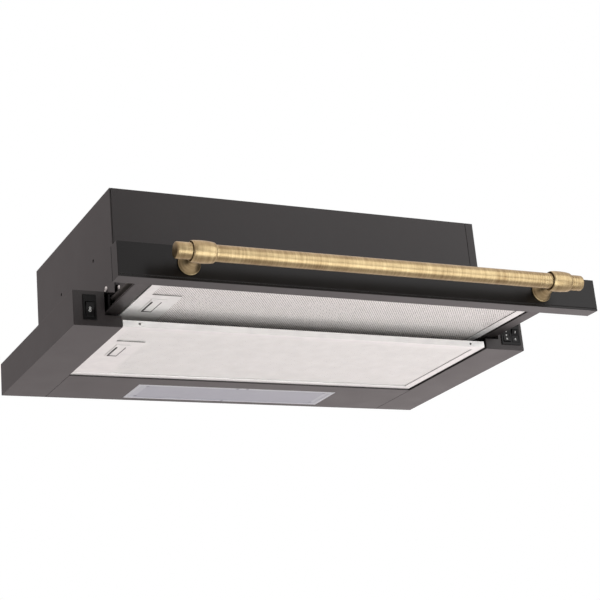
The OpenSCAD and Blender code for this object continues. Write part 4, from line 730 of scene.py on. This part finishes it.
def named_inputs(tree, values):
    """Gives a tree its geometry and its named inputs. Returns the sockets that they come from."""
    for title, value in {"Geometry": None, **values}.items():
        kind = SOCKET_KINDS.get(title, "NodeSocketFloat")
        item = tree.interface.new_socket(title, in_out="INPUT", socket_type=kind)
        if value is not None:
            item.default_value = value
    tree.interface.new_socket("Geometry", in_out="OUTPUT", socket_type=SOCKET_KINDS["Geometry"])
    return add(tree, "NodeGroupInput").outputs


def grown(name, mesh, tree, values):
    """The plain mesh that a tree makes of a mesh. Each input is set by its socket's identifier."""
    carrier = bpy.data.objects.new(name, mesh)
    scene.collection.objects.link(carrier)
    modifier = carrier.modifiers.new(name, "NODES")
    modifier.node_group = tree
    for item in tree.interface.items_tree:
        if item.in_out == "INPUT" and item.name in values:
            modifier[item.identifier] = values[item.name]
    result = bpy.data.meshes.new_from_object(carrier.evaluated_get(bpy.context.evaluated_depsgraph_get()))
    bpy.data.objects.remove(carrier)
    return result


# %% Tree for expanded metal
MAT_SIZES = {"Width": 0.45, "Depth": 0.16, "Pitch X": 3.0 * MM, "Pitch Y": 4.0 * MM, "Strand": 1.35 * MM,
             "Thickness": 0.25 * MM, "Cut Width": 34 * MM, "Cut Low": 42 * MM}
STRAND_STEP = 0.06 * MM


def expanded_metal_tree(name, material):
    """A rectangle of diamonds about the origin, without the corner at its back left."""
    tree = bpy.data.node_groups.new(name, "GeometryNodeTree")
    given = named_inputs(tree, MAT_SIZES)
    joined = add(tree, "GeometryNodeJoinGeometry")
    for fewer in (0, 1):
        sizes, counts = [], []
        for length, pitch in (("Width", "Pitch X"), ("Depth", "Pitch Y")):
            count = add(tree, "ShaderNodeMath", {0: given[length], 1: given[pitch]}, operation="DIVIDE")
            count = add(tree, "ShaderNodeMath", {0: count}, operation="FLOOR")
            count = add(tree, "ShaderNodeMath", {0: count, 1: fewer}, operation="SUBTRACT")
            sizes.append(add(tree, "ShaderNodeMath", {0: count, 1: given[pitch]}, operation="MULTIPLY"))
            counts.append(add(tree, "ShaderNodeMath", {0: count, 1: 1}, operation="ADD"))
        grid = add(tree, "GeometryNodeMeshGrid", {"Size X": sizes[0], "Size Y": sizes[1],
                                                 "Vertices X": counts[0], "Vertices Y": counts[1]})
        tree.links.new(grid.outputs["Mesh"], joined.inputs[0])

    axes = add(tree, "ShaderNodeSeparateXYZ", {0: add(tree, "GeometryNodeInputPosition")}).outputs
    reach = []
    for axis, length in ((0, "Width"), (1, "Depth")):
        half = add(tree, "ShaderNodeMath", {0: given[length], 1: 2.0}, operation="DIVIDE")
        reach.append(add(tree, "ShaderNodeMath", {0: axes[axis], 1: half}, operation="ADD"))
    left = add(tree, "ShaderNodeMath", {0: reach[0], 1: given["Cut Width"]}, operation="LESS_THAN")
    past_low = add(tree, "ShaderNodeMath", {0: reach[1], 1: given["Cut Low"]}, operation="GREATER_THAN")
    inside = add(tree, "ShaderNodeMath", {0: left, 1: past_low}, operation="MULTIPLY")
    kept = add(tree, "GeometryNodeDeleteGeometry", {"Geometry": joined, "Selection": inside}, domain="POINT")

    wedge = add(tree, "GeometryNodeCurvePrimitiveCircle", {"Resolution": 3, "Radius": 1.0})
    flat_down = add(tree, "GeometryNodeTransform", {"Geometry": wedge, "Rotation": (0, 0, math.radians(-90))})
    half_wide = add(tree, "ShaderNodeMath", {0: given["Strand"], 1: math.sqrt(3)}, operation="DIVIDE")
    half_thick = add(tree, "ShaderNodeMath", {0: given["Thickness"], 1: 1.5}, operation="DIVIDE")
    spread = add(tree, "ShaderNodeCombineXYZ", {0: half_wide, 1: half_thick, 2: 1.0})
    section = add(tree, "GeometryNodeTransform", {"Geometry": flat_down, "Scale": spread})
    strands = add(tree, "GeometryNodeJoinGeometry")
    for side in (-0.5, 0.5):
        across = add(tree, "ShaderNodeMath", {0: given["Pitch X"], 1: side}, operation="MULTIPLY")
        back = add(tree, "ShaderNodeMath", {0: given["Pitch Y"], 1: 0.5}, operation="MULTIPLY")
        start = add(tree, "ShaderNodeCombineXYZ", {2: side * STRAND_STEP})
        end = add(tree, "ShaderNodeCombineXYZ", {0: across, 1: back, 2: side * STRAND_STEP})
        line = add(tree, "GeometryNodeCurvePrimitiveLine", {"Start": start, "End": end})
        strand = add(tree, "GeometryNodeCurveToMesh", {"Curve": line, "Profile Curve": section})
        tree.links.new(strand.outputs[0], strands.inputs[0])

    copies = add(tree, "GeometryNodeInstanceOnPoints", {"Points": kept, "Instance": strands})
    real = add(tree, "GeometryNodeRealizeInstances", {0: copies})
    flat = add(tree, "GeometryNodeSetShadeSmooth", {"Geometry": real, "Shade Smooth": False})
    painted = add(tree, "GeometryNodeSetMaterial", {"Geometry": flat, "Material": material})
    add(tree, "NodeGroupOutput", {0: painted})
    return tree


# Expanding stretches and whitens the sheet, so it is paler than the frame and scatters more light.
mesh_metal = plated("expanded_aluminium", "#FAFAF8", "#F2F2F0", 0.4, 0.6, metallic=0.45)
# The drawer's outer mat is painted a touch paler, painted light, so its thin strands stand out against the dark
# inside.
drawer_mesh_painted_light = plated("expanded_aluminium_painted_light", "#FFFBFA", "#FAF6F4", 0.4, 0.6, metallic=0.4)
# The drawer's inner layers are painted dark, partly painted shade for the shadow they lie in and partly grease
# that dulls them, so they look dark between the strands.
grease_and_shade_metal = plated("expanded_aluminium_grease_and_painted_shade", "#3C3A38", "#2C2B2A", 0.5, 0.6)
diamonds = expanded_metal_tree("expanded_metal", mesh_metal)
print("tree inputs:", [item.name for item in diamonds.interface.items_tree if item.in_out == "INPUT"])

# %% Two mats for each filter
BORDER_MM, HIDDEN_RIM_MM = 11.6, 1.1
FINE = {"Pitch X": 3.0 * MM, "Pitch Y": 4.0 * MM}
COARSE = {"Pitch X": 4.1 * MM, "Pitch Y": 8.9 * MM}


def mat(name, node, pitches, strand_mm, lift_mm, material, replaced=()):
    """One layer of expanded metal inside a filter's frame, as a plain mesh."""
    low, high = (Vector(corner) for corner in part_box(node))
    margins = 2 * (BORDER_MM * MM - HIDDEN_RIM_MM * MM)
    values = {**MAT_SIZES, **pitches, "Width": high.x - low.x - margins, "Depth": high.y - low.y - margins,
              "Strand": strand_mm * MM}
    result = grown(name, bpy.data.meshes.new(name), diamonds, values)
    result.transform(Matrix.Translation(((low.x + high.x) / 2, (low.y + high.y) / 2, low.z + lift_mm * MM)))
    return show(result, name, node, material, replaced)


mats = (mat("fixed_mat_outer", "fixed_filter_mesh", FINE, 2.05, 0.3, mesh_metal, ["fixed_filter_mesh"]),
        mat("fixed_mat_inner", "fixed_filter_mesh", COARSE, 2.6, 0.9, mesh_metal),
        mat("drawer_mat_outer", "drawer_filter_mesh", FINE, 1.35, 0.3, drawer_mesh_painted_light, ["drawer_filter_mesh"]),
        mat("drawer_mat_inner", "drawer_filter_mesh", COARSE, 1.2, 2.6, grease_and_shade_metal))
print("faces in the mats:", [len(piece.data.polygons) for piece in mats])

# %% [markdown]
# ## Latch springs
#
# A coil of round steel wire stands behind each latch. It has the turns of the CAD's coil, with a rounder wire,
# and rides on the body of the CAD's coil.

# %% Coils behind the latches
WIRE_MM = 0.7
COIL_TURNS = 6
COIL_STEPS = 24
WIRE_SIDES = 10


def latch_spring(node):
    """Replaces the coil spring behind a latch by a rounder one on the same body."""
    low, high = (Vector(corner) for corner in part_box(node))
    wire_r = WIRE_MM * MM / 2
    coil_r = (high.z - low.z) / 2 - wire_r
    middle = (low + high) / 2
    steps = COIL_TURNS * COIL_STEPS
    work = bmesh.new()
    rings = []
    for i in range(steps + 1):
        turn = math.tau * i / COIL_STEPS
        x = low.x + wire_r + (high.x - low.x - 2 * wire_r) * i / steps
        ring = []
        for k in range(WIRE_SIDES):
            angle = math.tau * k / WIRE_SIDES
            out = coil_r + wire_r * math.cos(angle)
            ring.append(work.verts.new((x + wire_r * math.sin(angle), middle.y + out * math.cos(turn),
                                        middle.z + out * math.sin(turn))))
        rings.append(ring)
    work.faces.new(rings[0])
    work.faces.new(rings[-1])
    for ring, after in zip(rings, rings[1:]):
        for k in range(WIRE_SIDES):
            n = (k + 1) % WIRE_SIDES
            work.faces.new((ring[k], ring[n], after[n], after[k])).smooth = True
    bmesh.ops.recalc_face_normals(work, faces=work.faces)
    piece = show(mesh_from(work, node), node + "_coil", node, zinc, [node])
    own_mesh(piece)


latch_spring("fixed_latch_spring")
latch_spring("drawer_latch_spring")

# %% [markdown]
# ## Screws and rivets
#
# The casing, the drawer's cover and the duct collar are held by pan-head screws with a cross recess, and the
# casing's feet by rivets. They all have one shape at different sizes, so one tree makes them: a flattened dome
# with the cross cut out of it, and a shank below. It stands on points that know which way is out, and each
# screw is turned by a random amount with a fixed seed, because nobody lines up the crosses.

# %% Tree for screws
SCREW_SIZES = {"Head Radius": 3.75 * MM, "Head Height": 2.1 * MM, "Shank Radius": 1.9 * MM,
               "Shank Length": 8 * MM, "Recess": 1.0, "Seed": 7}
CROSS_LENGTH, CROSS_WIDTH, CROSS_DEPTH, CROSS_LIFT = 1.1, 0.34, 1.1, 1.05
BLOCK = 20 * MM


def screw_tree(name, material):
    """Heads and shanks on points. The cross is sized in shares of the head's radius and height."""
    tree = bpy.data.node_groups.new(name, "GeometryNodeTree")
    given = named_inputs(tree, SCREW_SIZES)
    radius, height, length = given["Head Radius"], given["Head Height"], given["Shank Length"]
    ball = add(tree, "GeometryNodeMeshUVSphere", {"Segments": 32, "Rings": 16, "Radius": 1.0})
    size = add(tree, "ShaderNodeCombineXYZ", {0: radius, 1: radius, 2: height})
    dome = add(tree, "GeometryNodeTransform", {"Geometry": ball, "Scale": size})
    below = add(tree, "GeometryNodeMeshCube", {"Size": (BLOCK, BLOCK, BLOCK)})
    below = add(tree, "GeometryNodeTransform", {"Geometry": below, "Translation": (0, 0, -BLOCK / 2)})
    cut = add(tree, "GeometryNodeMeshBoolean", {"Mesh 1": dome, "Mesh 2": below}, operation="DIFFERENCE")
    top = add(tree, "ShaderNodeMath", {0: height, 1: CROSS_LIFT}, operation="MULTIPLY")
    lift = add(tree, "ShaderNodeCombineXYZ", {2: top})
    deep = add(tree, "ShaderNodeMath", {0: height, 1: CROSS_DEPTH}, operation="MULTIPLY")
    arms = []
    for share in (CROSS_LENGTH, CROSS_WIDTH):
        whole = add(tree, "ShaderNodeMath", {0: radius, 1: share}, operation="MULTIPLY")
        arms.append(add(tree, "ShaderNodeMath", {0: whole, 1: given["Recess"]}, operation="MULTIPLY"))
    for x, y in (arms, arms[::-1]):
        box_size = add(tree, "ShaderNodeCombineXYZ", {0: x, 1: y, 2: deep})
        arm = add(tree, "GeometryNodeMeshCube", {"Size": box_size})
        arm = add(tree, "GeometryNodeTransform", {"Geometry": arm, "Translation": lift})
        tree.links.new(arm.outputs[0], cut.inputs["Mesh 2"])

    shank = add(tree, "GeometryNodeMeshCylinder", {"Vertices": 24, "Radius": given["Shank Radius"],
                                                   "Depth": length})
    sunk = add(tree, "ShaderNodeMath", {0: length, 1: -0.5}, operation="MULTIPLY")
    down = add(tree, "ShaderNodeCombineXYZ", {2: sunk})
    shank = add(tree, "GeometryNodeTransform", {"Geometry": shank, "Translation": down})
    screw = add(tree, "GeometryNodeJoinGeometry", {0: cut})
    tree.links.new(shank.outputs[0], screw.inputs[0])

    outward = add(tree, "GeometryNodeInputNamedAttribute", {"Name": "out"}, data_type="FLOAT_VECTOR")
    aimed = add(tree, "FunctionNodeAlignRotationToVector", {"Vector": outward}, axis="Z")
    chance = add(tree, "FunctionNodeRandomValue", {3: math.pi, "Seed": given["Seed"]}, data_type="FLOAT")
    spin = add(tree, "FunctionNodeAxisAngleToRotation", {"Axis": (0, 0, 1), "Angle": chance.outputs[1]})
    turned_by = add(tree, "FunctionNodeRotateRotation", {"Rotation": aimed, "Rotate By": spin},
                    rotation_space="LOCAL")
    copies = add(tree, "GeometryNodeInstanceOnPoints", {"Points": given["Geometry"], "Instance": screw,
                                                        "Rotation": turned_by})
    real = add(tree, "GeometryNodeRealizeInstances", {0: copies})
    painted = add(tree, "GeometryNodeSetMaterial", {"Geometry": real, "Material": material})
    add(tree, "NodeGroupOutput", {0: painted})
    return tree


screw_heads = screw_tree("pan_head_screws", zinc)
print("screw inputs:", [item.name for item in screw_heads.interface.items_tree if item.in_out == "INPUT"])

# %% Screws on their seats
SHANK_SHARE = 0.26


def solids_of(node):
    """The lowest and highest corner of each separate solid in a CAD node."""
    work = bmesh.new()
    work.from_mesh(frame["nodes"][node].data)
    bmesh.ops.remove_doubles(work, verts=work.verts, dist=MERGE_DISTANCE)
    left, found = set(work.verts), []
    while left:
        group = [left.pop()]
        for vert in group:
            near = [e.other_vert(vert) for e in vert.link_edges]
            new = [v for v in near if v in left]
            left.difference_update(new)
            group.extend(dict.fromkeys(new))
        found.append([Vector([pick(v.co[i] for v in group) for i in range(3)]) for pick in (min, max)])
    work.free()
    return sorted(found, key=lambda box: tuple(box[0]))


def screws(name, node, axis, head_mm, seat_mm, recess, seed):
    """Replaces the CAD screws of a node. seat_mm is how far a head stands above what it holds."""
    points, ways, shank_length = [], [], 0
    for low, high in solids_of(node):
        middle = (low + high) / 2
        way = Vector((0, 0, 1)) if axis == 2 else Vector((math.copysign(1, middle.x), 0, 0))
        tip = high[axis] if way[axis] > 0 else low[axis]
        seat = middle.copy()
        seat[axis] = tip - way[axis] * seat_mm * MM
        shank_length = abs(high[axis] - low[axis]) - seat_mm * MM
        points.append(seat)
        ways.append(way)
    mesh = bpy.data.meshes.new(name)
    mesh.from_pydata(points, [], [])
    out = mesh.attributes.new("out", "FLOAT_VECTOR", "POINT")
    out.data.foreach_set("vector", [v for way in ways for v in way])
    values = {"Head Radius": head_mm / 2 * MM, "Head Height": seat_mm * MM, "Recess": recess, "Seed": seed,
              "Shank Radius": head_mm * SHANK_SHARE * MM, "Shank Length": shank_length}
    result = grown(name, mesh, screw_heads, values)
    result.shade_smooth()
    result.set_sharp_from_angle(angle=math.radians(35))
    return show(result, name, node, zinc, [node])


made = (screws("casing_screw_heads", "casing_screws", 0, 7.5, 2.15, 1.0, 3),
        screws("cover_screw_heads", "cover_screws", 0, 6.5, 2.3, 1.0, 5),
        screws("collar_screw_heads", "collar_screws", 2, 7.5, 2.15, 1.0, 8),
        screws("foot_rivet_heads", "foot_rivets", 2, 6.0, 1.2, 0.0, 1))
print("faces in the screws:", [len(piece.data.polygons) for piece in made])
